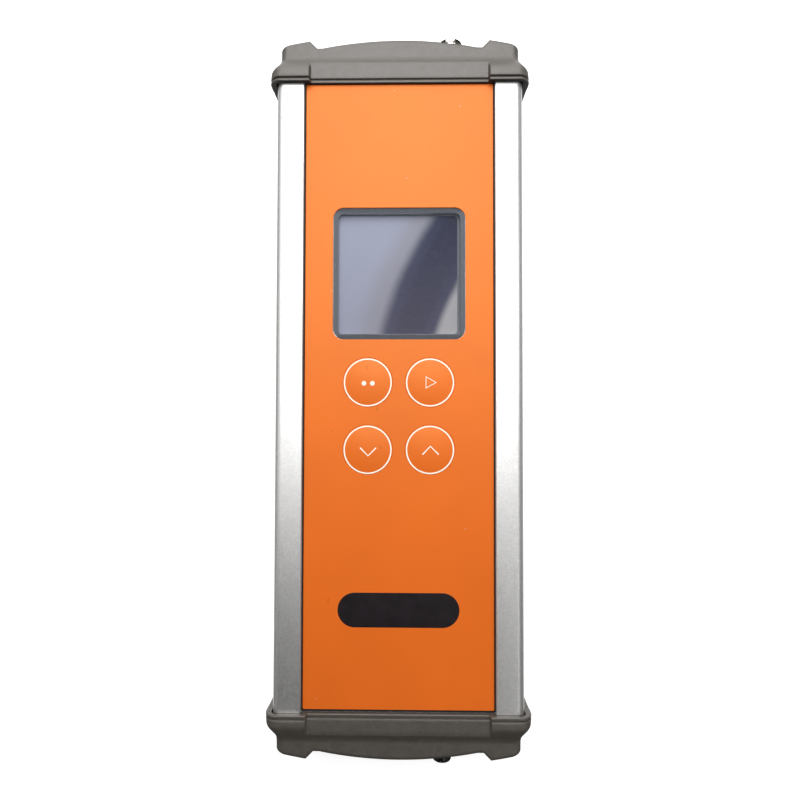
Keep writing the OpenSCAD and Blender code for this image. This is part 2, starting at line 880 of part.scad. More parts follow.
// A quarter of a ring, from the middle of the face to the middle of the side, shrunk by k
function quarter(u, k, zone) =
    let (r = corner_r(u),
        w = profile_w / 2 + ear_out(u, zone) - k,
        h = profile_d / 2 + ear_up(u, zone) - k,
        m = profile_d / 2 + mid_up(u, zone) - k,
        s = profile_w / 2 + mid_out(u, zone) - k,
        side = profile_d / 2 + ear_up(u, 2) - k - r - side_in,
        notch_x = tip_x - notch)
    concat(
        [for (f = [0, 0.35, 0.68, 0.9]) [f * notch_x, m]],
        [[notch_x, m]],
        [for (f = [0.45, 0.65, 0.85, 1, 1.25]) let (x = notch_x + notch * f)
            [x, m + (h - m) * smooth((x - ear_x + ramp_in) / ramp_w)]],
        [for (f = [0.3, 0.65]) [tip_x + tip_in + (w - r - tip_x - tip_in) * f, h]],
        [for (a = [0 : 15 : 90]) [w - r + r * sin(a), h - r + r * cos(a)]],
        [[w, side], [s, side - side_step]]);

function mirrored(q, sx, sz) = [for (p = q) [sx * p[0], sz * p[1]]];
function reversed(q) = [for (i = [len(q) - 1 : -1 : 0]) q[i]];
function without_first(q) = [for (i = [1 : len(q) - 1]) q[i]];

// A whole ring of X and Z points, clockwise from the middle of the face
function ring(u, k, zone) =
    let (q = quarter(u, k, zone), rest = without_first(q))
    concat(q, reversed(mirrored(q, 1, -1)), mirrored(rest, -1, -1), reversed(mirrored(rest, -1, 1)));

function flat_ring(u, k, zone) = [for (p = ring(u, k, zone)) [p[0], lip_y + u, mid_z + p[1]]];
function end_ring(k, e) = [for (p = ring(last_u, k, 2))
    [p[0], lip_y + end_u(abs(p[0])) - end_r + e, mid_z + p[1]]];

bumper_rings = concat(
    [flat_ring(0, lip_bevel, 0), flat_ring(lip_bevel, 0, 0), flat_ring(lip_w, 0, 0), flat_ring(lip_w, 0, 1)],
    [flat_ring(lip_w + groove_w, 0, 1), flat_ring(lip_w + groove_w, 0, 2), flat_ring(crest_w, 0, 2)],
    [for (f = [1 : 8]) flat_ring(crest_w + ear_run * f / 8, 0, 2)],
    [for (a = [0 : 22.5 : 90]) end_ring(end_r * (1 - cos(a)), end_r * sin(a))]);

// A solid through rings of n points each, closed by a flat start and a ruled end.
// Point j of a ring is the second to last one on the corner's arc.
module loft(rings) {
    n = len(rings[0]);
    last = len(rings) - 1;
    half = n / 2;
    j = half / 2 - 4 + 0.5;
    top = last * n;
    skin = [for (k = [0 : last - 1], i = [0 : n - 1]) let (a = k * n + i, b = k * n + (i + 1) % n)
        each [[a, b + n, b], [a, a + n, b + n]]];
    right = [for (i = [0 : j - 1]) each [[i, half - i, i + 1], [i + 1, half - i, half - i - 1]]];
    left = [for (i = [0 : j - 1]) let (a = (n - i) % n)
        each [[a, n - i - 1, half + i], [n - i - 1, half + i + 1, half + i]]];
    right_fan = [for (i = [j + 1 : half - j - 1]) [j, i + 1, i]];
    left_fan = [for (i = [half + j : n - j - 2]) [n - j, i + 1, i]];
    close = [for (f = concat(right, left, right_fan, left_fan)) [for (i = f) top + i]];
    polyhedron(points = [for (r = rings) each r], faces = concat([[for (i = [0 : n - 1]) i]], skin, close),
        convexity = 8);
}

// Bumper shell with its pocket, screw holes and the hole for a connector of radius r at x
module end_bumper(x, r, flange) {
    color([0.5, 0.49, 0.46]) difference() {
        loft(bumper_rings);
        along(lip_y - cut, plate_out) profile_outline(slip, profile_r - pocket_sharp);
        bar_y(x, plate_out - cut, mid_z, r + free_gap, bumper_l, small_fn);
        bar_y(x, plate_out - cut, mid_z, flange + free_gap, cut + flange_t + flange_room, small_fn);
        for (sx = [-1, 1], sz = [-1, 1]) {
            bar_y(sx * screw_x, plate_out - cut, mid_z + sz * screw_z, screw_hole_r,
                web_t + 2 * cut, small_fn);
            bar_y(sx * screw_x, web_y, mid_z + sz * screw_z, head_r + head_slip, bumper_l, small_fn);
        }
        children();
    }
}

module top_bumper() {
    end_bumper(port_x, port_r, flange_r)
        for (x = block_screw_xs)
            bar_y(x, plate_out - cut, block_screw_z, block_screw_head[0] + free_gap,
                cut + block_screw_head[1] + free_gap, small_fn);
}

module bottom_bumper() { at_bottom() end_bumper(socket_x, socket_r, socket_flange_r); }

profile_body();
keypad_foil();
label_inlay();
window_border();
window_lens();
key_menu();
key_start();
key_down();
key_up();
dome_menu();
dome_start();
dome_down();
dome_up();
keypad_board();
keypad_tail();
display_gasket();
display_glass();
display_frame();
display_posts();
main_board();
board_chips();
board_sockets();
battery_pack();
battery_pad();
optical_block();
block_screws();
coupling_lens();
dichroic_mirror();
excitation_lens();
excitation_filter();
excitation_led();
led_board();
emission_filter();
detector();
detector_board();
lens_rings();
fibre_port();
port_washer();
port_nut();
charge_socket();
charge_contacts();
socket_washer();
socket_nut();
top_gasket();
top_plate();
top_screws();
top_bumper();
bottom_gasket();
bottom_plate();
bottom_screws();
bottom_bumper();
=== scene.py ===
import json
import math
from types import SimpleNamespace

import bmesh
import bpy
from bpy.props import FloatProperty, FloatVectorProperty, PointerProperty
from bpy.types import Operator, Panel, PropertyGroup
from mathutils import Euler, Matrix, Vector


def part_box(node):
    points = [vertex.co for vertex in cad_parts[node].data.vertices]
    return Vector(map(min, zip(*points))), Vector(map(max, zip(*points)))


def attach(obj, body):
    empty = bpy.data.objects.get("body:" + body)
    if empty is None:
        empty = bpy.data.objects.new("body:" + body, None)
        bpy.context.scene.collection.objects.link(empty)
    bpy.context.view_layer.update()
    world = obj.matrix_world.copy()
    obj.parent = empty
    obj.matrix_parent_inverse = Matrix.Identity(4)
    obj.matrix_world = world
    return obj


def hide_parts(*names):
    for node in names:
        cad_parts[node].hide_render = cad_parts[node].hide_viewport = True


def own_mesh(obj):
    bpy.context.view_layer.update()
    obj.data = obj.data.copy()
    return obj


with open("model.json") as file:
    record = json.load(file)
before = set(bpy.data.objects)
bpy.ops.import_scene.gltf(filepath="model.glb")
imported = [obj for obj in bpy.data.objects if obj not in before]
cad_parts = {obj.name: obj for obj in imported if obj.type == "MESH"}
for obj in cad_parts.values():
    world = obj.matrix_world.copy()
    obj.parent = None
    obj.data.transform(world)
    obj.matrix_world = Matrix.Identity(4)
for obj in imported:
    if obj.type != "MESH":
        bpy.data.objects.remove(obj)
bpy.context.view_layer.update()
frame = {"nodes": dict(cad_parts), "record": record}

bl_info = {
    "name": "Chlorophyll Fluorescence Sensor",
    "version": (1, 0, 0),
    "blender": (4, 5, 0),
    "location": "3D View > Sidebar > Instrument",
    "description": "Dresses a handheld plant instrument: aluminium profile, moulded bumpers, membrane keypad",
    "category": "Object",
}

MM = 0.001
CASE = "case"
KEYS = ("menu", "start", "down", "up")
SMOOTH_ANGLE = math.radians(34)
FLAT_ANGLE = math.radians(12)


# Sizes and colours that a user would change

def length(description, value):
    """A length property: its default is written in millimetres and kept in metres."""
    return FloatProperty(description=description, default=value * MM, min=0.0, soft_max=0.4,
                         subtype="DISTANCE", unit="LENGTH", precision=5)


def tint(description, value):
    """A colour property, in linear light."""
    return FloatVectorProperty(description=description, default=value, size=3, min=0.0, max=1.0,
                               subtype="COLOR")


def power(description, value):
    return FloatProperty(description=description, default=value, min=0.0, subtype="POWER", unit="POWER")


class ProfileSizes(PropertyGroup):
    width: length("Width of the extruded profile", 84)
    depth: length("Depth of the profile over its rails", 36)
    run: length("Length between the sawn ends", 217)
    wall: length("Thickness of walls and decks", 2)
    rail: length("Width of each raised rail", 9.6)
    recess: length("Depth of the deck under the rails", 1.7)
    corner: length("Rounding of the long outer edges", 2.5)
    edge: length("Break along the rails' inner edges", 0.3)
    rest: length("Height of the ears that the case stands on", 2.4)


class BumperSizes(PropertyGroup):
    lip_cover: length("Length of profile under the lip", 2.5)
    reach: length("Length from the lip's edge to the end, at the middle", 16.2)
    ear_stand: length("Height of the ears over the profile", 2.4)
    mid_stand: length("Height between the ears over the rails", 0.65)
    ear_drop: length("Drop from the ears' crest to the end", 3.6)
    ear_width: length("Width of an ear on the face", 14.2)
    notch: length("Depth of the notch beside an ear's tip", 2.5)
    end_curve: length("Radius of the end's long curve", 140)
    corner: length("Rounding of the long corners", 4)


class KeypadSizes(PropertyGroup):
    foil_thickness: length("Thickness of the keypad foil", 0.7)
    foil_length: length("Length of the keypad foil", 211)
    foil_shift: length("Distance of the foil's middle from the profile's", 0.45)
    foil_gap: length("Gap between foil and rails", 0.5)
    window: length("Side of the square window", 44.8)
    window_corner: length("Rounding of the window", 3.6)
    window_place: length("Distance of the window from the middle", 41)
    border: length("Width of the printed border", 1.6)
    key_radius: length("Radius of a key's hole in the foil", 8.4)
    pitch_x: length("Distance between the key columns", 21)
    pitch_y: length("Distance between the key rows", 22.7)
    keys_place: length("Distance of the keys' middle below the middle", 7.4)
    ring_radius: length("Radius of the printed rings", 7.88)
    ring_stroke: length("Width of the printed rings", 0.45)
    sign_stroke: length("Width of the printed signs", 0.42)
    label_length: length("Length of the dark label field", 40.7)
    label_height: length("Height of the dark label field", 11.5)
    label_place: length("Distance of the label field below the middle", 72.2)


class EndSizes(PropertyGroup):
    port_side: length("Distance of the fibre port from the middle plane", 18.5)
    port_radius: length("Radius of the port's thread", 4.3)
    ferrule: length("Radius of the ferrule bore", 1.6)
    thread_pitch: length("Distance between two turns of the thread", 1.0)
    socket_side: length("Distance of the charging socket from the middle plane", 15.4)
    socket_radius: length("Radius of the charging socket", 3.3)
    screw_x: length("Distance of the end screws from the middle plane", 35.3)
    screw_z: length("Distance of the end screws from the middle depth", 11)


class Finishes(PropertyGroup):
    aluminium: tint("Natural anodised aluminium", (0.84, 0.835, 0.82))
    foil: tint("Orange ink under the foil's matt film", (0.785, 0.138, 0.008))
    marks: tint("White ink of rings and signs", (0.96, 0.94, 0.82))
    label: tint("Dark ink of the label field", (0.008, 0.005, 0.007))
    border: tint("Blue-grey ink round the window", (0.1, 0.112, 0.13))
    bumper: tint("Grey elastomer", (0.069, 0.060, 0.049))


class StageSettings(PropertyGroup):
    ambient: FloatProperty(description="Strength of the even studio light", default=0.34, min=0.0)
    softbox: power("Power of the softbox over the port's end", 1.8)
    fill: power("Power of the softbox over the keypad", 0.35)
    eye: FloatVectorProperty(description="Place of the camera", size=3, precision=5, subtype="TRANSLATION",
                             unit="LENGTH", default=(0.003378, -0.007265, 0.234482))
    tilt: FloatVectorProperty(description="Turn of the camera", size=3, precision=5, subtype="EULER",
                              unit="ROTATION", default=(0.026863, 0.015104, 0.002131))
    lens: FloatProperty(description="Focal length in millimetres", default=26.325, min=1.0,
                        subtype="DISTANCE_CAMERA", unit="CAMERA")


class InstrumentSettings(PropertyGroup):
    profile: PointerProperty(type=ProfileSizes)
    bumper: PointerProperty(type=BumperSizes)
    keypad: PointerProperty(type=KeypadSizes)
    ends: PointerProperty(type=EndSizes)
    finish: PointerProperty(type=Finishes)
    stage: PointerProperty(type=StageSettings)


def sizes(group):
    """A group's lengths in millimetres. All pieces are worked out in these."""
    held = getattr(bpy.context.scene.instrument, group)
    return SimpleNamespace(**{name: getattr(held, name) / MM for name in held.__annotations__})


# Heights and lengths that several pieces share

END_PLATE, BUMPER_WEB = 2.4, 2.4


def mid_height():
    s = sizes("profile")
    return s.depth / 2 + s.rest


def deck_height():
    s = sizes("profile")
    return mid_height() + s.depth / 2 - s.recess


def foil_height():
    return deck_height() + sizes("keypad").foil_thickness


def lip_place():
    return sizes("profile").run / 2 - sizes("bumper").lip_cover


def plate_face():
    """Distance of an end plate's outer face from the middle."""
    return sizes("profile").run / 2 + END_PLATE


def key_place(key):
    s = sizes("keypad")
    column = -1 if key in ("menu", "down") else 1
    row = 1 if key in ("menu", "start") else -1
    return Vector((column * s.pitch_x / 2, -s.keys_place + row * s.pitch_y / 2, 0))


# Node trees

NOISE_LOW, NOISE_HIGH = 0.3, 0.7


class Graph:
    """A node tree that is filled one node at a time. An input is a value or another node's socket."""

    def __init__(self, tree):
        self.tree = tree

    def node(self, kind, feeds=None, **choices):
        node = self.tree.nodes.new(kind)
        for name, value in choices.items():
            setattr(node, name, value)
        for name, value in (feeds or {}).items():
            self.feed(node.inputs[name], value)
        return node

    def add(self, kind, feeds=None, **choices):
        """Adds a node and gives its first output."""
        return self.node(kind, feeds, **choices).outputs[0]

    def feed(self, socket, value):
        if isinstance(value, bpy.types.NodeSocket):
            self.tree.links.new(value, socket)
        else:
            socket.default_value = value

    def math(self, operation, a, b=0.0, c=0.0):
        return self.add("ShaderNodeMath", {0: a, 1: b, 2: c}, operation=operation)


def times(colour, factor):
    return [min(1.0, c * factor) for c in colour]


class Shade(Graph):
    """A material with one Principled shader and textures on Object coordinates."""

    def __init__(self, name, colour, roughness, metallic=0.0):
        self.material = bpy.data.materials.new(name)
        self.material.use_nodes = True
        super().__init__(self.material.node_tree)
        self.shader = self.tree.nodes["Principled BSDF"]
        self.place = self.node("ShaderNodeTexCoord").outputs["Object"]
        self.dress((*colour[:3], 1.0), roughness)
        self.set("Metallic", metallic)

    def set(self, name, value):
        self.feed(self.shader.inputs[name], value)

    def dress(self, colour, roughness, gloss=None):
        self.set("Base Color", colour)
        self.set("Roughness", roughness)
        if gloss is not None:
            self.set("Specular IOR Level", gloss)

    def stretched(self, factors):
        return self.add("ShaderNodeMapping", {"Vector": self.place, "Scale": factors})

    def noise(self, grains, detail=3.0, roughness=0.55, where=None):
        """Noise with about this many grains to a millimetre."""
        return self.add("ShaderNodeTexNoise", {"Vector": where or self.place, "Scale": grains / MM,
                                               "Detail": detail, "Roughness": roughness})

    def flecks(self, cells, reach, strength, where=None):
        """This strength on small spots, one in about this many cells to a millimetre, and 0 elsewhere."""
        near = self.add("ShaderNodeTexVoronoi", {"Vector": where or self.place, "Scale": cells / MM})
        return self.math("MULTIPLY", self.math("LESS_THAN", near, reach), strength)

    def ramp(self, value, stops, easing="LINEAR"):
        node = self.node("ShaderNodeValToRGB", {0: value})
        node.color_ramp.interpolation = easing
        points = node.color_ramp.elements
        while len(points) < len(stops):
            points.new(0.5)
        for point, (position, colour) in zip(points, stops):
            point.position = position
            point.color = (*colour[:3], 1.0)
        return node.outputs[0]

    def span(self, value, low, high, first=0.0, last=1.0):
        """The value's way from low to high, as a way from first to last."""
        return self.add("ShaderNodeMapRange", {"Value": value, "From Min": low, "From Max": high,
                                               "To Min": first, "To Max": last})

    def spread(self, noise, first, last):
        return self.span(noise, NOISE_LOW, NOISE_HIGH, first, last)

    def toned(self, noise, colour, dark, light):
        """The colour, darker and lighter by these factors where the noise is low and high."""
        return self.ramp(noise, [(NOISE_LOW, times(colour, dark)), (NOISE_HIGH, times(colour, light))])

    def mixed(self, share, first, second):
        node = self.node("ShaderNodeMix", {"Factor": share}, data_type="RGBA")
        for place, colour in ((6, first), (7, second)):
            plain = not isinstance(colour, bpy.types.NodeSocket)
            self.feed(node.inputs[place], (*colour[:3], 1.0) if plain else colour)
        return node.outputs[2]

    def bump(self, height, depth):
        """A bump of this depth in millimetres."""
        node = self.node("ShaderNodeBump", {"Height": height, "Distance": depth * MM, "Strength": 1.0})
        self.set("Normal", node.outputs["Normal"])


def metal(shade, colour, roughness, grain, depth, tones, cloud, dull, worn):
    """Metal with a grain in colour, gloss and bump, and soft clouds that dull it."""
    tone = shade.toned(grain, colour, *tones)
    clouds = shade.spread(shade.noise(cloud, 2.0), 0.0, 0.35)
    shade.dress(shade.mixed(clouds, tone, times(colour, dull)),
                shade.spread(grain, roughness * 0.88, min(1.0, roughness * worn)))
    shade.bump(grain, depth)
    return shade.material


def grained_metal(name, colour, roughness, along, grain=4.0, depth=0.004):
    """Metal with fine lines along one axis."""
    shade = Shade(name, colour, roughness, 1.0)
    lines = shade.noise(grain, 4.0, 0.65, shade.stretched([0.02 if axis == along else 1.0 for axis in "xyz"]))
    return metal(shade, colour, roughness, lines, depth, (0.94, 1.05), 0.06, 0.93, 1.15)


def satin_metal(name, colour, roughness):
    """Etched and anodised metal: an even fine satin speckle."""
    shade = Shade(name, colour, roughness, 1.0)
    speckle = shade.noise(1.6, 5.0, 0.72)
    return metal(shade, colour, roughness, speckle, 0.01, (0.86, 1.1), 0.05, 0.94, 1.14)


def moulded(name, colour, roughness, grains=3.0, depth=0.01, mottle=0.08, gloss=0.5):
    """Moulded or painted surface: fine grain in the bump, soft mottling in colour and gloss."""
    shade = Shade(name, colour, roughness)
    cloud = shade.noise(0.25, 3.0, 0.6)
    shade.dress(shade.toned(cloud, colour, 1 - mottle, 1 + mottle),
                shade.spread(cloud, roughness * 0.92, min(1.0, roughness * 1.08)), gloss)
    shade.bump(shade.noise(grains, 4.0, 0.6), depth)
    return shade.material


def clear(name, colour, alpha, gloss=0.5):
    """Clear or tinted sheet, lens or filter, with faint wipe marks in its gloss."""
    shade = Shade(name, colour, 0.04)
    wipes = shade.noise(0.5, 3.0, 0.6, shade.stretched((1.0, 0.2, 1.0)))
    shade.dress(shade.toned(wipes, colour, 0.97, 1.03), shade.spread(wipes, 0.024, 0.072), gloss)
    shade.set("Alpha", alpha)
    return shade.material


def circuit_board(name, colour):
    """Solder mask over copper tracks: a fine grid of tracks lifts the mask and lightens it."""
    shade = Shade(name, colour, 0.35)
    bricks = {"Vector": shade.place, "Scale": 0.12 / MM, "Mortar Size": 0.03, "Brick Width": 0.9,
              "Row Height": 0.3}
    tracks = shade.node("ShaderNodeTexBrick", bricks, offset=0.37).outputs["Fac"]
    copper = [min(1.0, c * 1.6 + 0.02) for c in colour]
    shade.set("Base Color", shade.mixed(tracks, colour, copper))
    shade.bump(tracks, 0.03)
    return shade.material


def keypad_ink(name, colour):
    """Orange ink under a matt film: fine grain, a soft cloud of tone, a few pale and dark flecks."""
    shade = Shade(name, colour, 0.46)
    grain = shade.noise(2.2, 4.0, 0.7)
    ink = shade.toned(shade.noise(0.035, 2.0), colour, 0.96, 1.04)
    ink = shade.mixed(shade.flecks(0.11, 0.022, 0.35), ink, (0.95, 0.8, 0.68))
    lint = shade.flecks(0.13, 0.045, 0.3, shade.stretched((1.0, 0.45, 1.0)))
    shade.dress(shade.mixed(lint, ink, times(colour, 0.45)), shade.spread(grain, 0.38, 0.48), 0.7)
    shade.set("Specular Tint", (1.0, 0.9, 0.45, 1.0))
    shade.bump(grain, 0.012)
    return shade.material


def elastomer(name, colour):
    """Matt moulded elastomer: fine spark-eroded grain, soft mottling, faint scuffs, and painted shade on the
    lip's end face.
    """
    shade = Shade(name, colour, 0.62)
    mottle = shade.noise(0.45, 4.0, 0.65)
    speckle = shade.math("MULTIPLY", shade.noise(1.9, 2.0, 0.6), 0.5)
    tone = shade.toned(shade.math("MULTIPLY_ADD", mottle, 0.5, speckle), colour, 0.8, 1.2)
    scuffs = shade.noise(0.2, 5.0, 0.75, shade.stretched((1.0, 0.3, 1.0)))
    tone = shade.mixed(shade.span(scuffs, 0.58, 0.75, 0.0, 0.3), tone, times(colour, 1.35))
    # Painted shade: within 0.3 mm of the lip's end face the colour falls to 0.3 of itself, for the shade
    # between the lip and the profile.
    along = shade.node("ShaderNodeSeparateXYZ", {0: shade.place}).outputs["Y"]
    off_lip_end = shade.math("ABSOLUTE", shade.math("SUBTRACT", along, lip_place() * MM))
    edge = shade.span(off_lip_end, 0.02 * MM, 0.3 * MM)
    shade.dress(shade.mixed(edge, times(colour, 0.3), tone), shade.spread(mottle, 0.44, 0.54), 0.9)
    shade.bump(shade.math("MULTIPLY_ADD", mottle, 0.6, shade.noise(1.2, 4.0, 0.7)), 0.07)
    return shade.material


def unlit_display(name):
    """Unlit liquid crystal glass with a painted reflection: a pale lavender sheen cut by a broad dark slanting
    band, darker towards the bottom.
    """
    s = sizes("keypad")
    middle, half = s.window_place * MM, s.window / 2 * MM
    shade = Shade(name, (0.3, 0.32, 0.4), 0.22)
    across, up, _ = shade.node("ShaderNodeSeparateXYZ", {0: shade.place}).outputs
    slant = shade.math("SUBTRACT", across, shade.math("MULTIPLY", up, 0.445))
    wave = shade.math("MULTIPLY", shade.math("SUBTRACT", shade.noise(0.04, 2.0), 0.5), 2.0 * MM)
    off = shade.math("DIVIDE", shade.math("SUBTRACT", up, middle), half)
    bow = shade.math("SUBTRACT", 1.0, shade.math("MULTIPLY", off, off))
    left = shade.span(slant, 0.0, -16 * MM, 0.0, 2.4 * MM)
    bent = shade.math("ADD", slant, shade.math("MULTIPLY_ADD", bow, left, wave))
    # Painted reflection: pale where a softbox would reflect in the window, dark in the slanting band.
    pale, silver, low_silver = (0.345, 0.37, 0.475), (0.30, 0.305, 0.365), (0.42, 0.42, 0.43)
    night, dusk = (0.004, 0.007, 0.037), (0.016, 0.021, 0.062)
    band = shade.ramp(shade.span(bent, -40 * MM, 20 * MM),
                      [(0.0, pale), (0.22, pale), (0.37, silver), (0.455, dusk), (0.52, night),
                       (0.62, night), (0.69, dusk), (0.75, low_silver), (1.0, low_silver)], "EASE")
    band = shade.mixed(shade.flecks(0.35, 0.05, 0.22), band, (0.75, 0.76, 0.8))
    # The painted reflection fades, darker towards the bottom.
    low = shade.span(up, middle - half, middle + half, 0.3, 0.0)
    shade.dress(shade.mixed(low, band, (0.16, 0.14, 0.17)),
                shade.spread(shade.noise(0.8, 3.0), 0.22, 0.34), 0.06)
    return shade.material


MADE = {}


def finish(slot):
    """The material of one of the record's slots, or of a look beside them, made once."""
    if slot not in MADE:
        colours = bpy.context.scene.instrument.finish
        maker, *look = {
            "anodised_aluminium": (satin_metal, colours.aluminium, 0.4),
            "keypad_orange": (keypad_ink, colours.foil),
            "marks_white": (moulded, colours.marks, 0.4, 4.0, 0.004, 0.02),
            "label_dark": (moulded, colours.label, 0.34, 2.0, 0.004, 0.15),
            "border_grey": (moulded, colours.border, 0.4, 3.0, 0.004, 0.05, 0.15),
            "ledge_grey": (moulded, (0.14, 0.15, 0.17), 0.4, 3.0, 0.004, 0.1, 0.15),
            "clear_window": (clear, (0.3, 0.32, 0.38), 0.04, 0.05),
            "display_dark": (unlit_display,),
            "bumper_grey": (elastomer, colours.bumper),
            # Black seals; the same black paints shade on the bumper lip's end face and in the gaps beside the
            # foil.
            "seal_black": (moulded, (0.012, 0.012, 0.012), 0.8, 4.0, 0.03, 0.2),
            "spring_steel": (grained_metal, (0.6, 0.6, 0.6), 0.28, "x"),
            "screw_steel": (grained_metal, (0.5, 0.5, 0.49), 0.3, "x", 6.0, 0.003),
            "nickel_plate": (grained_metal, (0.75, 0.73, 0.69), 0.12, "x", 6.0, 0.001),
            "contact_gold": (grained_metal, (0.72, 0.5, 0.18), 0.22, "z"),
            "black_plastic": (moulded, (0.012, 0.012, 0.013), 0.2, 2.0, 0.004, 0.2),
            "end_plate_grey": (moulded, (0.08, 0.08, 0.085), 0.55, 2.5, 0.02),
            "board_green": (circuit_board, (0.012, 0.09, 0.035)),
            "board_white": (circuit_board, (0.6, 0.6, 0.58)),
            "chip_black": (moulded, (0.02, 0.02, 0.022), 0.6, 5.0, 0.01, 0.15),
            "socket_ivory": (moulded, (0.68, 0.63, 0.5), 0.45),
            "flex_amber": (moulded, (0.35, 0.12, 0.01), 0.25, 2.0, 0.004),
            "battery_blue": (moulded, (0.03, 0.09, 0.25), 0.3, 0.8, 0.02, 0.1),
            "block_black": (moulded, (0.018, 0.018, 0.02), 0.5, 4.0, 0.006, 0.15),
            "lens_glass": (clear, (0.85, 0.9, 0.93), 0.3),
            "filter_blue": (clear, (0.05, 0.1, 0.6), 0.6),
            "filter_red": (clear, (0.45, 0.01, 0.015), 0.7),
            "mirror_dichroic": (grained_metal, (0.6, 0.45, 0.7), 0.05, "z", 1.0, 0.0005),
            "led_clear": (clear, (0.88, 0.9, 0.95), 0.5),
        }[slot]
        MADE[slot] = maker(slot, *look)
    return MADE[slot]


# Meshes and pieces, from points in millimetres

def add_object(name, data):
    thing = bpy.data.objects.new(name, data)
    bpy.context.scene.collection.objects.link(thing)
    return thing


def solid(name, points, faces):
    """A piece of a closed mesh, with its faces turned outwards."""
    mesh = bpy.data.meshes.new(name)
    mesh.from_pydata([tuple(part * MM for part in p) for p in points], [], [tuple(f) for f in faces])
    tidy(mesh)
    return add_object(name, mesh)


def drawn(name, lines, height=0.0):
    """A mesh of flat lines. Each is given as its points and whether it is closed."""
    points, edges = [], []
    for line, shut in lines:
        first, count = len(points), len(line)
        points += [(x * MM, y * MM, height * MM) for x, y in line]
        edges += [(first + i, first + (i + 1) % count) for i in range(count if shut else count - 1)]
    mesh = bpy.data.meshes.new(name)
    mesh.from_pydata(points, edges, [])
    return mesh


def tidy(mesh, merge=1e-7):
    shape = bmesh.new()
    shape.from_mesh(mesh)
    bmesh.ops.remove_doubles(shape, verts=shape.verts, dist=merge)
    bmesh.ops.recalc_face_normals(shape, faces=shape.faces)
    shape.to_mesh(mesh)
    shape.free()
    mesh.update()


def plain_mesh(thing):
    """Turns an object with modifiers, or a curve, into an object with one plain mesh."""
    graph = bpy.context.evaluated_depsgraph_get()
    mesh = bpy.data.meshes.new_from_object(thing.evaluated_get(graph))
    name = thing.name
    bpy.data.objects.remove(thing)
    mesh.name = name
    return add_object(name, mesh)


def grown(name, mesh, tree, slot, **values):
    """The piece that a tree of geometry nodes makes from a mesh, a material and named values."""
    thing = add_object(name, mesh)
    growth = thing.modifiers.new(tree.name, "NODES")
    growth.node_group = tree
    values["material"] = finish(slot)
    for item in tree.interface.items_tree:
        value = values.get(item.name.replace(" ", "_").lower())
        if item.in_out == "INPUT" and value is not None:
            growth[item.identifier] = value * MM if item.socket_type == "NodeSocketFloat" else value
    return plain_mesh(thing)


def finished(thing, slot, replaces=(), body=CASE, smooth=SMOOTH_ANGLE, look=None):
    """Gives a piece its material, its shading and the body that it rides on."""
    thing.data.materials.clear()
    thing.data.materials.append(finish(look or slot))
    thing.data.polygons.foreach_set("material_index", [0] * len(thing.data.polygons))
    thing.data.shade_smooth()
    thing.data.set_sharp_from_angle(angle=smooth)
    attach(thing, body)
    if replaces:
        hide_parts(*replaces)


def without(thing, cutters):
    """Cuts solids out of a piece and turns it into a plain mesh."""
    for cutter in cutters:
        cut = thing.modifiers.new(cutter.name, "BOOLEAN")
        cut.operation = "DIFFERENCE"
        cut.solver = "EXACT"
        cut.object = cutter
    piece = plain_mesh(thing)
    for cutter in cutters:
        bpy.data.objects.remove(cutter)
    tidy(piece.data)
    return piece


def quarter_turn(steps):
    """Sine and cosine of equal steps over a quarter of a turn."""
    angles = [math.pi / 2 * step / steps for step in range(steps + 1)]
    return [(math.sin(a), math.cos(a)) for a in angles]


def turned(name, outline, centre=(0, 0), segments=96, flip=1, upright=False):
    """A piece turned about a line along Y, or an upright one. Each outline point is (radius, place)."""
    points, faces, rings = [], [], []
    for radius, along in outline:
        steps = segments if radius else 1
        rings.append(range(len(points), len(points) + steps))
        for step in range(steps):
            angle = 2 * math.pi * step / segments
            a, b = centre[0] + radius * math.sin(angle), centre[1] + radius * math.cos(angle)
            points.append((a, b, along) if upright else (a, flip * along, b))
    for near, far in zip(rings, rings[1:]):
        for step in range(segments):
            after = (step + 1) % segments
            face = [near[step % len(near)], near[after % len(near)],
                    far[after % len(far)], far[step % len(far)]]
            faces.append([v for i, v in enumerate(face) if v not in face[:i]])
    return solid(name, points, [f for f in faces if len(f) > 2])


def rod(name, radius, start, end, centre, segments=96):
    return turned(name, [(0, start), (radius, start), (radius, end), (0, end)], centre, segments)


def rounded(width, height, radius, steps, y=0.0, x=0.0):
    """Outline of a rectangle with round corners, anticlockwise."""
    outline = []
    for turn, (sx, sy) in enumerate(((1, 1), (-1, 1), (-1, -1), (1, -1))):
        for step in range(steps + 1):
            angle = math.pi / 2 * (turn + step / steps)
            outline.append((x + sx * (width / 2 - radius) + radius * math.cos(angle),
                            y + sy * (height / 2 - radius) + radius * math.sin(angle)))
    return outline


def circle(radius, x, y, steps=96):
    angles = [2 * math.pi * step / steps for step in range(steps)]
    return [(x + radius * math.cos(a), y + radius * math.sin(a)) for a in angles]


def plate(name, outlines, low, high, bevel=0.0):
    """A flat piece of outlines and holes from low to high, its edges broken by a bevel."""
    curve = bpy.data.curves.new(name, "CURVE")
    curve.dimensions = "2D"
    curve.fill_mode = "BOTH"
    curve.extrude = ((high - low) / 2 - bevel) * MM
    curve.bevel_depth = bevel * MM
    curve.bevel_resolution = 2
    curve.offset = -bevel * MM
    for outline in outlines:
        spline = curve.splines.new("POLY")
        spline.points.add(len(outline) - 1)
        for point, (x, y) in zip(spline.points, outline):
            point.co = (x * MM, y * MM, 0, 1)
        spline.use_cyclic_u = True
    piece = plain_mesh(add_object(name, curve))
    piece.data.transform(Matrix.Translation((0, 0, (low + high) / 2 * MM)))
    tidy(piece.data, 1e-6)
    return piece


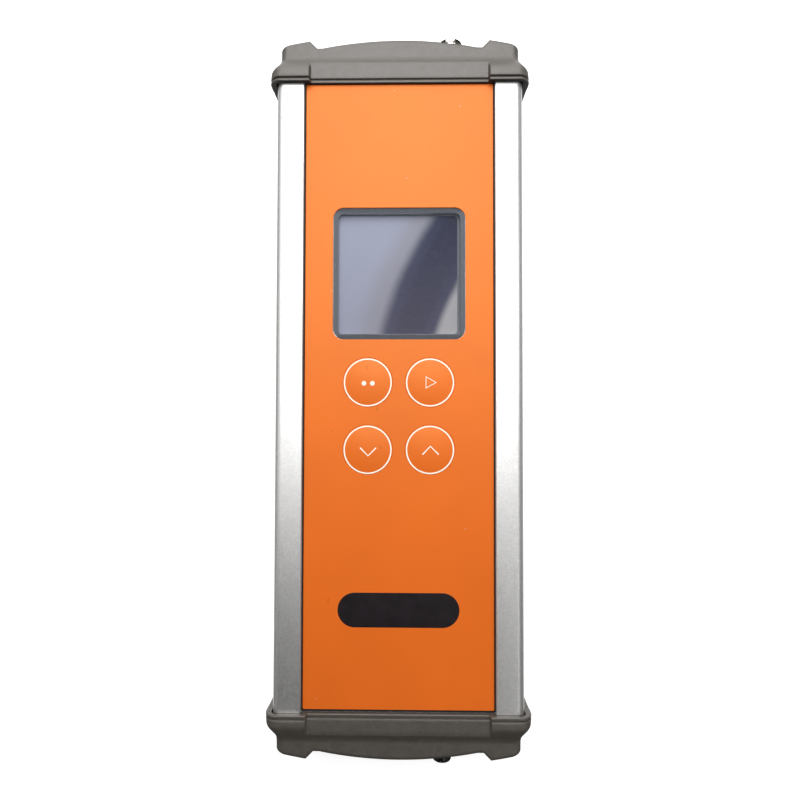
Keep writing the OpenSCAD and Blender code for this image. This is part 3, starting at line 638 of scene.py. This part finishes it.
def prism(name, outline, start, end):
    """A solid of an X and Z outline, from start to end along Y."""
    count = len(outline)
    points = [(x, y, z) for y in (start, end) for x, z in outline]
    sides = [(i, (i + 1) % count, count + (i + 1) % count, count + i) for i in range(count)]
    return solid(name, points, [range(count), range(count, 2 * count), *sides])


# Trees of geometry nodes

class Growth(Graph):
    """A tree of geometry nodes. Its lengths, whole numbers and material are named inputs."""

    def __init__(self, name, lengths, whole=()):
        super().__init__(bpy.data.node_groups.new(name, "GeometryNodeTree"))
        inputs = {"Geometry": "Geometry", **dict.fromkeys(lengths, "Float"), **dict.fromkeys(whole, "Int"),
                  "Material": "Material"}
        sockets = self.tree.interface
        for label, kind in inputs.items():
            sockets.new_socket(label, in_out="INPUT", socket_type="NodeSocket" + kind)
        sockets.new_socket("Geometry", in_out="OUTPUT", socket_type="NodeSocketGeometry")
        self.given = self.node("NodeGroupInput").outputs

    def geo(self, kind, feeds=None, **choices):
        return self.add("GeometryNode" + kind, feeds, **choices)

    def point(self, **parts):
        return self.add("ShaderNodeCombineXYZ", parts)

    def grid(self, across, up):
        """The four corners of a rectangle."""
        return self.geo("MeshGrid", {"Size X": across, "Size Y": up, "Vertices X": 2, "Vertices Y": 2})

    def placed(self, geometry, spot, turn=0.0):
        """Geometry turned about X and moved."""
        return self.geo("Transform", {"Geometry": geometry, "Translation": spot, "Rotation": (turn, 0, 0)})

    def block(self, flat, offset):
        """The closed solid that a flat face leaves behind on its way."""
        sides = self.geo("ExtrudeMesh", {"Mesh": flat, "Offset": offset, "Individual": False})
        base = self.geo("FlipFaces", {"Mesh": flat})
        both = self.node("GeometryNodeJoinGeometry")
        for part in (sides, base):
            self.tree.links.new(part, both.inputs[0])
        return self.geo("MergeByDistance", {"Geometry": both.outputs[0], "Distance": 1e-6})

    def swept(self, curve, nib):
        return self.geo("CurveToMesh", {"Curve": curve, "Profile Curve": nib, "Fill Caps": True})

    def close(self, geometry):
        real = self.geo("RealizeInstances", {"Geometry": geometry})
        painted = self.geo("SetMaterial", {"Geometry": real, "Material": self.given["Material"]})
        self.node("NodeGroupOutput", {"Geometry": painted})
        return self.tree


def extrusion_tree():
    """Fills a drawn section, runs it along Y and cuts the window and the key holes through its front."""
    tree = Growth("Extruded Profile", ["Length", "Height", "Cut Low", "Cut Depth", "Window", "Corner",
                                       "Window Place", "Key Radius", "Pitch X", "Pitch Y", "Keys Place"])
    given = tree.given
    section = tree.geo("MeshToCurve", {"Mesh": given["Geometry"]})
    bar = tree.block(tree.geo("FillCurve", {"Curve": section}), tree.point(Z=given["Length"]))
    half = tree.math("MULTIPLY", given["Length"], 0.5)
    result = tree.placed(bar, tree.point(Y=half, Z=given["Height"]), math.pi / 2)
    square = tree.geo("CurvePrimitiveQuadrilateral", {"Width": given["Window"], "Height": given["Window"]})
    soft = tree.geo("FilletCurve", {"Curve": square, "Radius": given["Corner"], "Count": 8}, mode="POLY")
    window = tree.geo("FillCurve", {"Curve": soft})
    disc = tree.geo("CurvePrimitiveCircle", {"Radius": given["Key Radius"], "Resolution": 64})
    hole = tree.geo("FillCurve", {"Curve": disc})
    grid = tree.grid(given["Pitch X"], given["Pitch Y"])
    holes = tree.geo("InstanceOnPoints", {"Points": grid, "Instance": hole})
    holes = tree.geo("RealizeInstances", {"Geometry": holes})
    for flat, place in ((window, given["Window Place"]), (holes, given["Keys Place"])):
        low = tree.placed(flat, tree.point(Y=place, Z=given["Cut Low"]))
        cutter = tree.block(low, tree.point(Z=given["Cut Depth"]))
        result = tree.geo("MeshBoolean", {"Mesh 1": result, "Mesh 2": cutter}, operation="DIFFERENCE")
    return tree.close(result)


def stroke_tree():
    """Lays a flat printed stroke along every drawn line."""
    tree = Growth("Printed Strokes", ["Width", "Thickness"])
    given = tree.given
    line = tree.geo("MeshToCurve", {"Mesh": given["Geometry"]})
    upright = tree.geo("SetCurveNormal", {"Curve": line}, mode="Z_UP")
    nib = tree.geo("CurvePrimitiveQuadrilateral", {"Width": given["Width"], "Height": given["Thickness"]})
    return tree.close(tree.swept(upright, nib))


def thread_tree():
    """Winds a ridge round the Y axis, thinning to nothing at both ends."""
    tree = Growth("Thread", ["Radius", "Pitch", "Length", "Ridge", "Side", "Start", "Height"])
    given = tree.given
    turns = tree.math("DIVIDE", given["Length"], given["Pitch"])
    helix = tree.geo("CurveSpiral", {"Resolution": 72, "Rotations": turns, "Start Radius": given["Radius"],
                                     "End Radius": given["Radius"], "Height": given["Length"]})
    along = tree.node("GeometryNodeSplineParameter").outputs["Factor"]
    ends = tree.math("MULTIPLY", tree.math("MULTIPLY", along, tree.math("SUBTRACT", 1.0, along)), 22.0)
    thin = tree.math("MINIMUM", tree.math("MAXIMUM", ends, 0.02), 1.0)
    sized = tree.geo("SetCurveRadius", {"Curve": helix, "Radius": thin})
    nib = tree.geo("CurvePrimitiveCircle", {"Resolution": 6, "Radius": given["Ridge"]})
    spot = tree.point(X=given["Side"], Y=given["Start"], Z=given["Height"])
    return tree.close(tree.placed(tree.swept(sized, nib), spot, -math.pi / 2))


def screw_tree():
    """Sets the drawn screw on the four corners of an end, each turned by chance."""
    tree = Growth("End Screws", ["Across", "Up", "Place", "Height"], ["Seed"])
    given = tree.given
    spot = tree.point(Y=given["Place"], Z=given["Height"])
    corners = tree.placed(tree.grid(given["Across"], given["Up"]), spot, math.pi / 2)
    chance = tree.node("FunctionNodeRandomValue", {"Seed": given["Seed"], 3: math.pi}, data_type="FLOAT")
    turn = tree.point(Y=chance.outputs[1])
    return tree.close(tree.geo("InstanceOnPoints", {"Points": corners, "Instance": given["Geometry"],
                                                    "Rotation": turn}))


# Profile

def all_round(quarter):
    """The whole outline, from its quarter at the right of the front."""
    right = quarter + [(x, -z) for x, z in reversed(quarter)]
    return right + [(-x, z) for x, z in reversed(right)]


def profile_outline(grow=0.0, corner=None, edge=0.0):
    """Outline of the profile in X and Z about its middle depth, from the front deck's right half round."""
    s = sizes("profile")
    half_w, half_d = s.width / 2 + grow, s.depth / 2 + grow
    rail = s.width / 2 - s.rail - grow
    corner = corner or s.corner
    quarter = [(rail, half_d - s.recess), (rail, half_d - edge)]
    if edge:
        quarter.append((rail + edge, half_d))
    quarter += [(half_w - corner + corner * sine, half_d - corner + corner * cosine)
                for sine, cosine in quarter_turn(14)]
    return all_round(quarter)


class INSTRUMENT_OT_profile(Operator):
    """Run the aluminium section along the instrument and cut its window and key holes"""
    bl_idname = "instrument.profile"
    bl_label = "Extruded Profile"

    def execute(self, context):
        s, keypad = sizes("profile"), sizes("keypad")
        rail_in = s.width / 2 - s.rail + s.wall
        deep = s.depth / 2 - s.wall
        hollow = all_round([(rail_in, deep - s.recess), (rail_in, deep), (s.width / 2 - s.wall, deep)])
        section = drawn("extruded_profile", [(profile_outline(edge=s.edge), True), (hollow, True)])
        bar = grown("extruded_profile", section, extrusion_tree(), "anodised_aluminium", length=s.run,
                    height=mid_height(), cut_low=deck_height() - s.wall - 1, cut_depth=s.wall + 2,
                    window=keypad.window - 2 * keypad.border + 0.3, corner=keypad.window_corner / 2,
                    window_place=keypad.window_place, key_radius=keypad.key_radius + 0.7,
                    pitch_x=keypad.pitch_x, pitch_y=keypad.pitch_y, keys_place=-keypad.keys_place)
        tidy(bar.data, 1e-6)
        finished(bar, "anodised_aluminium", ["profile_body"])
        return {"FINISHED"}


# Bumpers

LIP, GROOVE, SHELL = 0, 1, 2
LIP_W, GROOVE_W, CREST = 1.0, 0.25, 3.0
EAR_RUN, MID_START, MID_RUN, END_R = 7.2, 5.0, 8.5, 1.8
LAST = CREST + EAR_RUN + 0.2
EAR_LOW, EAR_OUT = (0.65, 0.95, 0.0), (2.35, 1.95, 2.25)
MID_LOW, MID_OUT = (0.55, 0.75, 0.0), (2.2, 1.8, 2.0)
MID_FALL, SIDE_FALL = 1.9, 1.5
FACE_STEPS, RISE_STEPS, EAR_STEPS, CORNER_STEPS, SIDE_STEPS = 14, 20, 6, 16, 4
RISE = 0.6


def smooth(t):
    c = min(1.0, max(0.0, t))
    return c * c * (3 - 2 * c)


class BumperShape:
    """The moulded bumper's rings. u runs from the lip's edge to the end; a zone is lip, groove or shell."""

    def __init__(self):
        s, p = sizes("bumper"), sizes("profile")
        self.half_w, self.half_d = p.width / 2, p.depth / 2
        self.ear, self.mid, self.fall, self.notch = s.ear_stand, s.mid_stand, s.ear_drop, s.notch
        self.reach, self.curve, self.corner = s.reach, s.end_curve, s.corner
        self.ear_x = self.half_w + self.ear + 0.1 - s.ear_width
        self.tip_x = self.ear_x + 0.7
        self.foot = self.tip_x - self.notch

    def ear_up(self, u, zone):
        return self.ear - EAR_LOW[zone] - self.fall * smooth((u - CREST) / EAR_RUN)

    def end(self, x):
        """Distance from the lip's edge to the end's outline: a long curve, a notch and an ear's tip."""
        at = min(x, self.foot - 2.0)
        level = self.reach - self.curve + math.sqrt(self.curve ** 2 - at * at)
        if x < self.tip_x:
            return level + max(0.0, x - self.foot)
        d = x - self.tip_x
        return level + self.notch - 0.16 * d - 0.003 * d * d

    def quarter(self, u, k, zone):
        """A quarter of a ring, from the middle of the face to the middle of the side, shrunk by k."""
        r = self.corner - 1.6 * smooth((u - CREST) / EAR_RUN)
        fallen = MID_FALL * smooth((u - MID_START) / MID_RUN)
        ear_up = self.ear_up(u, zone)
        ear_out = EAR_OUT[zone] - 0.08 * u - 2.45 * smooth((u - CREST) / 6.2)
        w, h = self.half_w + ear_out - k, self.half_d + ear_up - k
        m = self.half_d + min(self.mid - MID_LOW[zone] - fallen, ear_up) - k
        s = self.half_w + min(MID_OUT[zone] - SIDE_FALL * fallen, ear_out) - k
        side = self.half_d + self.ear_up(u, SHELL) - k - r - 3.0
        points = [(self.foot * i / FACE_STEPS, m) for i in range(FACE_STEPS)]
        for i in range(RISE_STEPS + 1):
            x = self.foot + (self.notch + RISE) * i / RISE_STEPS
            points.append((x, m + (h - m) * smooth((x - self.ear_x + 0.35) / 0.8)))
        start = self.foot + self.notch + RISE
        points += [(start + (w - r - start) * i / EAR_STEPS, h) for i in range(1, EAR_STEPS)]
        points += [(w - r + r * sine, h - r + r * cosine) for sine, cosine in quarter_turn(CORNER_STEPS)]
        shares = [i / SIDE_STEPS for i in range(SIDE_STEPS + 1)]
        return points + [(w + (s - w) * smooth(share), side - 0.9 * share) for share in shares]

    def ring(self, u, k, zone, along):
        q = self.quarter(u, k, zone)
        loop = q + [(x, -z) for x, z in reversed(q)]
        loop += [(-x, -z) for x, z in q[1:]] + [(-x, z) for x, z in reversed(q[1:])]
        return [(x, along(x), z) for x, z in loop]

    def rings(self):
        """All rings from the lip's edge to the end, with soft edges at the lip and the groove."""
        flat = [(0.3 * (1 - cosine), 0.3 * (1 - sine), LIP) for sine, cosine in quarter_turn(4)]
        groove_end = LIP_W + GROOVE_W
        flat += [(LIP_W - 0.12, 0, LIP), (LIP_W - 0.04, 0.05, LIP), (LIP_W, 0.12, LIP), (LIP_W, 0, GROOVE),
                 (groove_end, 0, GROOVE), (groove_end, 0.16, SHELL), (groove_end + 0.05, 0.06, SHELL),
                 (groove_end + 0.16, 0, SHELL), (CREST - 0.9, 0, SHELL), (CREST, 0, SHELL)]
        flat += [(CREST + EAR_RUN * i / 26, 0, SHELL) for i in range(1, 27)]
        made = [self.ring(u, k, zone, lambda x, u=u: u) for u, k, zone in flat]
        for sine, cosine in quarter_turn(12):
            made.append(self.ring(LAST, END_R * (1 - cosine), SHELL,
                                  lambda x, e=END_R * sine: self.end(abs(x)) - END_R + e))
        return made


def bumper_shell(name):
    """The closed shell of the top end: a skin over the rings, a flat lip and an end closed in strips."""
    shape = BumperShape()
    rings = shape.rings()
    n, last = len(rings[0]), len(rings) - 1
    lip, mid = lip_place(), mid_height()
    points = [(x, lip + u, mid + z) for ring in rings for x, u, z in ring]
    faces = [(k * n + i, k * n + (i + 1) % n, (k + 1) * n + (i + 1) % n, (k + 1) * n + i)
             for k in range(last) for i in range(n)]
    faces.append(range(n))
    q = len(shape.quarter(LAST, END_R, SHELL))
    j = q - 7
    right = list(range(0, 2 * q))
    left = [0] + [n - i for i in range(1, q)]
    left_low = [2 * q - 1 + i for i in range(0, q)]
    caps = []
    for i in range(j):
        caps.append((right[i], right[i + 1], right[2 * q - 2 - i], right[2 * q - 1 - i]))
        caps.append((left[i], left[i + 1], left_low[i + 1], left_low[i]))
    caps += [right[j:2 * q - j], left[j:] + left_low[:j - 1:-1]]
    faces += [[last * n + v for v in cap] for cap in caps]
    return solid(name, points, faces)


def bumper(end, side, radius, flange, block_heads=()):
    """A bumper with its pocket for the profile and its holes; the bottom's is mirrored."""
    ends = sizes("ends")
    face = plate_face()
    web, far = face + BUMPER_WEB, face + 30
    mid = mid_height()
    shell = bumper_shell(end + "_bumper_moulding")
    outline = [(x, mid + z) for x, z in profile_outline(0.35, 1.7)]
    cutters = [prism("pocket", outline, lip_place() - 1, face),
               rod("bore", radius + 0.3, face - 1, far, (side, mid)),
               rod("flange_room", flange + 0.3, face - 0.9, face + 2, (side, mid))]
    for sx in (-1, 1):
        for sz in (-1, 1):
            spot = (sx * ends.screw_x, mid + sz * ends.screw_z)
            cutters.append(rod("screw_hole", 1.7, face - 0.8, web + 1, spot, 48))
            cutters.append(rod("head_room", 3.1, web, far, spot, 64))
    cutters += [rod("block_head_room", 2.5, face - 0.7, face + 1.7, spot, 32) for spot in block_heads]
    piece = without(shell, cutters)
    if end == "bottom":
        piece.data.transform(Matrix.Scale(-1, 4, (0, 1, 0)))
        tidy(piece.data)
    finished(piece, "bumper_grey", [end + "_bumper"])
    # Painted shade: faces lying at the lip's end face take the black seal material, for the shade in the gap
    # between the lip and the profile.
    piece.data.materials.append(finish("seal_black"))
    shaded_lip_limit = (lip_place() + 0.06) * MM
    for polygon in piece.data.polygons:
        ys = [piece.data.vertices[v].co.y for v in polygon.vertices]
        polygon.material_index = int(0 < min(ys) and max(ys) < shaded_lip_limit)


class INSTRUMENT_OT_bumpers(Operator):
    """Mould both bumpers: ringed lip, groove, four ears, round end"""
    bl_idname = "instrument.bumpers"
    bl_label = "Bumpers"

    def execute(self, context):
        ends = sizes("ends")
        low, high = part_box("block_screws")
        z = (low.z + high.z) / 2 / MM
        heads = [(low.x / MM + 2.2, z), (high.x / MM - 2.2, z)]
        bumper("top", ends.port_side, ends.port_radius, 6.2, heads)
        bumper("bottom", ends.socket_side, ends.socket_radius, 5)
        return {"FINISHED"}


# Keypad

GLUE = 0.05
SIGNS = {"start": ([(-1.35, 1.9), (2.05, 0.0), (-1.35, -1.9)], True),
         "down": ([(-2.52, 0.71), (0.14, -2.05), (2.9, 0.71)], False),
         "up": ([(-2.51, -1.56), (0.15, 1.24), (2.94, -1.56)], False)}


class INSTRUMENT_OT_foil(Operator):
    """Lay the orange foil with its holes and the dark label field into the front recess"""
    bl_idname = "instrument.foil"
    bl_label = "Keypad Foil"

    def execute(self, context):
        s, p = sizes("keypad"), sizes("profile")
        deck, top = deck_height(), foil_height()
        recess = p.width - 2 * p.rail
        sheet = rounded(recess - 2 * s.foil_gap, s.foil_length, 0.5, 4, s.foil_shift)
        hole = rounded(s.window + 0.16, s.window + 0.16, s.window_corner + 0.08, 16, s.window_place)
        keys = [circle(s.key_radius, *key_place(key)[:2]) for key in KEYS]
        foil = plate("front_foil", [sheet, hole, *keys], deck + GLUE, top, 0.12)
        finished(foil, "keypad_orange", ["keypad_foil"], smooth=FLAT_ANGLE)
        # The glue layer under the foil, black and reaching out to the rails: partly the real glue, partly
        # painted shade in the gaps beside the foil.
        base = rounded(recess - 0.04, 2 * lip_place() - 0.1, 0.5, 4)
        finished(plate("foil_adhesive", [base, hole, *keys], deck, deck + GLUE), "seal_black")
        # Painted shade: black strips standing in the gaps between the foil and the rails' inner walls.
        gap_shades = [rounded(0.36, s.foil_length, 0.1, 2, s.foil_shift, side * (recess / 2 - 0.2))
                 for side in (-1, 1)]
        finished(plate("foil_seam", gap_shades, deck + GLUE, top + 0.55, 0.05), "seal_black")
        field = rounded(s.label_length, s.label_height, s.label_height / 2 - 0.01, 24, -s.label_place)
        label = plate("label_field", [field], top - 0.1, top + 0.05, 0.02)
        finished(label, "label_dark", ["label_inlay"], smooth=FLAT_ANGLE)
        return {"FINISHED"}


class INSTRUMENT_OT_window(Operator):
    """Set the clear window, its printed border and the display's look"""
    bl_idname = "instrument.window"
    bl_label = "Window"

    def execute(self, context):
        s = sizes("keypad")
        deck, inside, place = deck_height(), s.window - 2 * s.border, s.window_place
        outer = rounded(s.window, s.window, s.window_corner, 16, place)
        inner = rounded(inside, inside, s.window_corner / 2, 12, place)
        band = plate("window_band", [outer, inner], deck, deck + 0.15, 0.03)
        finished(band, "border_grey", ["window_border"], smooth=FLAT_ANGLE)
        ledge_in = rounded(inside - 0.6, inside - 0.8, 1.4, 8, place + 0.15, -0.55)
        under = rounded(inside + 0.2, inside + 0.2, s.window_corner / 2, 12, place)
        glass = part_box("display_glass")[1].z
        ledge = plate("window_ledge", [under, ledge_in], glass / MM + 0.01, glass / MM + 0.13, 0.02)
        finished(ledge, "border_grey", smooth=FLAT_ANGLE, look="ledge_grey")
        sheet = plate("window_sheet", [outer], deck + 0.15, foil_height(), 0.05)
        finished(sheet, "clear_window", ["window_lens"], smooth=FLAT_ANGLE)
        return {"FINISHED"}


class INSTRUMENT_OT_keys(Operator):
    """Make the four round keys and print a ring and a sign on each"""
    bl_idname = "instrument.keys"
    bl_label = "Keys"

    def execute(self, context):
        s = sizes("keypad")
        top, skirt, ink = foil_height(), deck_height() - 0.1, 0.03
        rim, flange = s.key_radius - 0.03, s.key_radius + 0.5
        strokes = stroke_tree()

        def printed(name, line, shut, width, body):
            mesh = drawn(name, [(line, shut)], top + ink / 2)
            piece = grown(name, mesh, strokes, "marks_white", width=width, thickness=ink)
            tidy(piece.data)
            finished(piece, "keypad_orange", body=body, look="marks_white")

        for key in KEYS:
            body, at = f"key_{key}_body", key_place(key)
            low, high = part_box("key_" + key)
            foot = low.z / MM
            edge = [(0, foot), (2.6, foot), (2.6, skirt - 0.6), (flange, skirt - 0.6), (flange, skirt),
                    (rim, skirt), (rim, top - 0.07), (rim - 0.03, top - 0.02), (rim - 0.1, top), (0, top)]
            cap = turned("membrane_" + key, edge, at, 128, upright=True)
            finished(cap, "keypad_orange", ["key_" + key], body)
            self.snap_dome(key, at * MM)
            printed("ring_" + key, circle(s.ring_radius, at.x, at.y, 128), True, s.ring_stroke, body)
            if key in SIGNS:
                line, shut = SIGNS[key]
                line = [(at.x + x, at.y + y) for x, y in line]
                printed("sign_" + key, line, shut, s.sign_stroke, body)
            else:
                dots = [circle(0.78, at.x + x, at.y - 0.3, 40) for x in (-1.3, 1.55)]
                sign = plate("sign_" + key, dots, top, top + ink)
                finished(sign, "keypad_orange", body=body, look="marks_white")
        return {"FINISHED"}

    def snap_dome(self, key, at):
        """The thin steel cap under a key, at its rest height; a key's full travel would flatten it to half
        that.
        """
        low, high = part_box("dome_" + key)
        radius, rise, foot = (high.x - low.x) / 2 / MM, (high.z - low.z) / MM, low.z / MM
        sheet, rim = 0.15, 0.2
        shares = [i / 10 for i in range(11)]
        section = [(radius * f, foot + rise * (1 - f * f)) for f in shares]
        section += [((radius - rim) * f, foot + (rise - sheet) * (1 - f * f)) for f in reversed(shares)]
        dome = turned("snap_" + key, section, at / MM, 64, upright=True)
        finished(dome, "spring_steel", ["dome_" + key])
        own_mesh(dome)


# Connectors and screws

FLANGE = 1.8


class INSTRUMENT_OT_connectors(Operator):
    """Turn the bright fibre port with its thread, and the black charging socket"""
    bl_idname = "instrument.connectors"
    bl_label = "Connectors"

    def execute(self, context):
        s = sizes("ends")
        seat, mid = plate_face(), mid_height()
        low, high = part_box("fibre_port")
        back, tip = low.y / MM, high.y / MM
        root, crest, start = s.port_radius - 0.28, s.port_radius - 0.02, tip - 7.8
        port = [(s.ferrule, back), (root, back), (root, seat), (6.1, seat), (6.2, seat + 0.1),
                (6.2, seat + FLANGE - 0.1), (6.1, seat + FLANGE), (root, seat + FLANGE), (root, start),
                (root, tip - 1.5), (crest, tip - 1.2), (crest, tip - 0.4), (crest - 0.1, tip - 0.12),
                (crest - 0.38, tip), (s.ferrule + 0.5, tip), (s.ferrule, tip - 0.5), (s.ferrule, back)]
        coupling = turned("fibre_coupling", port, (s.port_side, mid), 128)
        finished(coupling, "nickel_plate", ["fibre_port"])
        ridge = grown("coupling_thread", bpy.data.meshes.new("coupling_thread"), thread_tree(),
                      "nickel_plate", radius=root, pitch=s.thread_pitch, length=6.2, ridge=0.27,
                      side=s.port_side, start=start, height=mid)
        finished(ridge, "nickel_plate")
        low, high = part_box("charge_socket")
        back, tip = -high.y / MM, -low.y / MM
        r, neck, groove, bore = s.socket_radius, s.socket_radius - 0.25, s.socket_radius - 0.22, 2.4
        socket = [(0, back), (neck, back), (neck, seat), (5, seat), (5, seat + FLANGE), (neck, seat + FLANGE),
                  (neck, tip - 7.8), (r, tip - 7.8), (r, tip - 2.9), (groove, tip - 2.75), (groove, tip - 2.3),
                  (r, tip - 2.15), (r, tip - 0.45), (r - 0.13, tip - 0.13), (r - 0.45, tip),
                  (bore + 0.12, tip), (bore, tip - 0.15), (bore, tip - 6), (0, tip - 6)]
        jack = turned("charging_jack", socket, (s.socket_side, mid), flip=-1)
        finished(jack, "black_plastic", ["charge_socket"])
        return {"FINISHED"}


class INSTRUMENT_OT_screws(Operator):
    """Set four socket screws into each end"""
    bl_idname = "instrument.screws"
    bl_label = "End Screws"

    def execute(self, context):
        s = sizes("ends")
        tree = screw_tree()
        seat = plate_face() + BUMPER_WEB
        for end, flip in (("top", 1), ("bottom", -1)):
            piece = grown(end + "_end_screws", self.screw(flip), tree, "screw_steel", across=2 * s.screw_x,
                          up=2 * s.screw_z, place=flip * seat, height=mid_height(), seed=7)
            finished(piece, "screw_steel", [end + "_screws"])
        return {"FINISHED"}

    def screw(self, flip):
        """One screw along Y with its head outside zero: round head, hexagon socket, threaded shank."""
        shank = [(0, -14), (1.1, -14), (1.45, -13.5)]
        for turn in range(1, 24):
            place = -13.5 + turn * 0.5
            shank += [(1.5, place - 0.3), (1.28, place)]
        head = [(1.5, 0), (2.65, 0), (2.75, 0.1), (2.75, 1.5), (2.6, 2.0), (2.2, 2.33), (1.7, 2.4), (0, 2.4)]
        thing = turned("screw", shank + head, segments=48, flip=flip)
        key_way = turned("key_way", [(0, 1.0), (1.25, 1.1), (1.25, 3), (0, 3)], segments=6, flip=flip)
        piece = without(thing, [key_way])
        mesh = piece.data
        bpy.data.objects.remove(piece)
        return mesh


# What the case holds

class INSTRUMENT_OT_inside(Operator):
    """Give every other part of the assembly its material"""
    bl_idname = "instrument.inside"
    bl_label = "Inside Parts"

    def execute(self, context):
        slots = {row["node"]: row["material_slot"] for row in frame["record"]["subparts"]}
        for name, thing in frame["nodes"].items():
            thing.data.materials.clear()
            thing.data.materials.append(finish(slots[name]))
        return {"FINISHED"}


# Stage, in metres

LEVEL = (0, 0, 0)


def rectangle(name, half, place, turn, material):
    """A flat rectangle of these half sides."""
    w, l = half
    mesh = bpy.data.meshes.new(name)
    mesh.from_pydata([(-w, -l, 0), (w, -l, 0), (w, l, 0), (-w, l, 0)], [], [(0, 1, 2, 3)])
    mesh.transform(Matrix.Translation(place) @ Euler(turn).to_matrix().to_4x4())
    mesh.materials.append(material)
    return add_object(name, mesh)


class INSTRUMENT_OT_stage(Operator):
    """Set the pale floor, the studio light and the camera"""
    bl_idname = "instrument.stage"
    bl_label = "Stage"

    def execute(self, context):
        s = context.scene.instrument.stage
        floor = rectangle("studio_floor", (3.0, 3.0), LEVEL, LEVEL, self.floor_material())
        self.world(s.ambient)
        self.softbox("end_softbox", (0.0, 0.24, 0.44), (0, 0.02, 0.03), (0.34, 0.42), s.softbox)
        self.softbox("low_softbox", (0.0, 0.58, 0.26), (0, 0.12, 0.03), (0.6, 0.4), s.softbox * 0.7)
        self.softbox("side_softbox", (0.42, 0.12, 0.40), (0, 0, 0.03), (0.2, 0.4), s.fill)
        self.card("low_end_card", (-0.29, -0.47, 0.56), LEVEL, (0.5, 0.35), 0.06)
        self.card("low_end_wall", (0, -0.85, 0.3), (math.pi / 2, 0, 0), (0.7, 0.3), 0.03)
        self.card("low_end_floor", (0, -0.49, 0.0005), LEVEL, (0.4, 0.35), 0.03)
        port = sizes("ends").port_side * MM
        self.card("far_card", (port, 0.225, 0.0005), LEVEL, (0.022, 0.09), 0.03)
        for side, flip, half in (("left", -1, 0.1), ("right", 1, 0.32)):
            upright = (0, flip * math.pi / 2, 0)
            self.card("port_flag", (port + flip * 0.022, 0.22, 0.02), upright, (0.019, 0.085), 0.02)
            self.card(side + "_card", (flip * 0.45, 0.15, half + 0.01), upright, (half, 0.65), 0.3)
            self.card(side + "_end_card", (flip * 0.44, -0.4, 0.33), upright, (0.32, 0.2), 0.24)
            self.card(side + "_low_card", (flip * 0.27, -0.05, 0.0004), LEVEL, (0.18, 0.6), 0.3)
        camera = bpy.data.cameras.new("camera")
        camera.sensor_width, camera.lens = 36.0, s.lens
        camera.clip_start, camera.clip_end = 0.005, 20.0
        view = add_object("camera", camera)
        view.location = s.eye
        view.rotation_euler = Euler(s.tilt)
        context.scene.camera = view
        context.scene.view_settings.view_transform = "Standard"
        return {"FINISHED"}

    def seen_directly(self, graph):
        """1 for rays from the camera, in reflections and through glass, and 0 for light."""
        path = graph.node("ShaderNodeLightPath").outputs
        some = graph.math("MAXIMUM", path["Is Camera Ray"], path["Is Glossy Ray"])
        return graph.math("MAXIMUM", some, path["Is Transmission Ray"])

    def floor_material(self):
        pale = (0.86, 0.86, 0.86)
        shade = Shade("studio_floor", pale, 0.9)
        shade.set("Base Color", shade.toned(shade.noise(0.02), pale, 0.995, 1.005))
        shade.set("Emission Color", (1, 1, 1, 1))
        shade.set("Emission Strength", shade.math("MULTIPLY", self.seen_directly(shade), 0.6))
        return shade.material

    def world(self, ambient):
        world = bpy.data.worlds.new("studio")
        bpy.context.scene.world = world
        world.use_nodes = True
        graph = Graph(world.node_tree)
        sky = world.node_tree.nodes["Background"]
        sky.inputs["Color"].default_value = (1, 1, 1, 1)
        strength = graph.add("ShaderNodeMix", {"Factor": self.seen_directly(graph), 2: ambient, 3: 1.0},
                             data_type="FLOAT")
        graph.feed(sky.inputs["Strength"], strength)

    def card(self, name, place, turn, half, tone):
        """A dark card that shows only as a reflection, which bright metal and the foil need."""
        card = rectangle(name, half, place, turn, moulded(name, (tone, tone, tone), 0.9))
        card.visible_camera = card.visible_diffuse = False
        card.visible_transmission = card.visible_shadow = False

    def softbox(self, name, place, aim, size, power):
        lamp = bpy.data.lights.new(name, "AREA")
        lamp.shape, lamp.size, lamp.size_y, lamp.energy = "RECTANGLE", size[0], size[1], power
        thing = add_object(name, lamp)
        thing.location = place
        thing.rotation_euler = (Vector(aim) - Vector(place)).to_track_quat("-Z", "Y").to_euler()


class INSTRUMENT_PT_sidebar(Panel):
    bl_idname = "INSTRUMENT_PT_sidebar"
    bl_label = "Fluorescence Sensor"
    bl_space_type = "VIEW_3D"
    bl_region_type = "UI"
    bl_category = "Instrument"

    def draw(self, context):
        for step in STEPS:
            self.layout.operator(step.bl_idname)
        for group in InstrumentSettings.__annotations__:
            box = self.layout.box()
            held = getattr(context.scene.instrument, group)
            for name in held.__annotations__:
                box.prop(held, name, text=name.replace("_", " ").title())


STEPS = (INSTRUMENT_OT_profile, INSTRUMENT_OT_bumpers, INSTRUMENT_OT_foil, INSTRUMENT_OT_window,
         INSTRUMENT_OT_keys, INSTRUMENT_OT_connectors, INSTRUMENT_OT_screws, INSTRUMENT_OT_inside,
         INSTRUMENT_OT_stage)
CLASSES = (ProfileSizes, BumperSizes, KeypadSizes, EndSizes, Finishes, StageSettings, InstrumentSettings,
           *STEPS, INSTRUMENT_PT_sidebar)


def register():
    for kind in CLASSES:
        bpy.utils.register_class(kind)
    bpy.types.Scene.instrument = PointerProperty(type=InstrumentSettings)


def unregister():
    del bpy.types.Scene.instrument
    for kind in reversed(CLASSES):
        bpy.utils.unregister_class(kind)


def main():
    register()
    for step in STEPS:
        group, name = step.bl_idname.split(".")
        getattr(getattr(bpy.ops, group), name)()


if __name__ == "__main__":
    main()
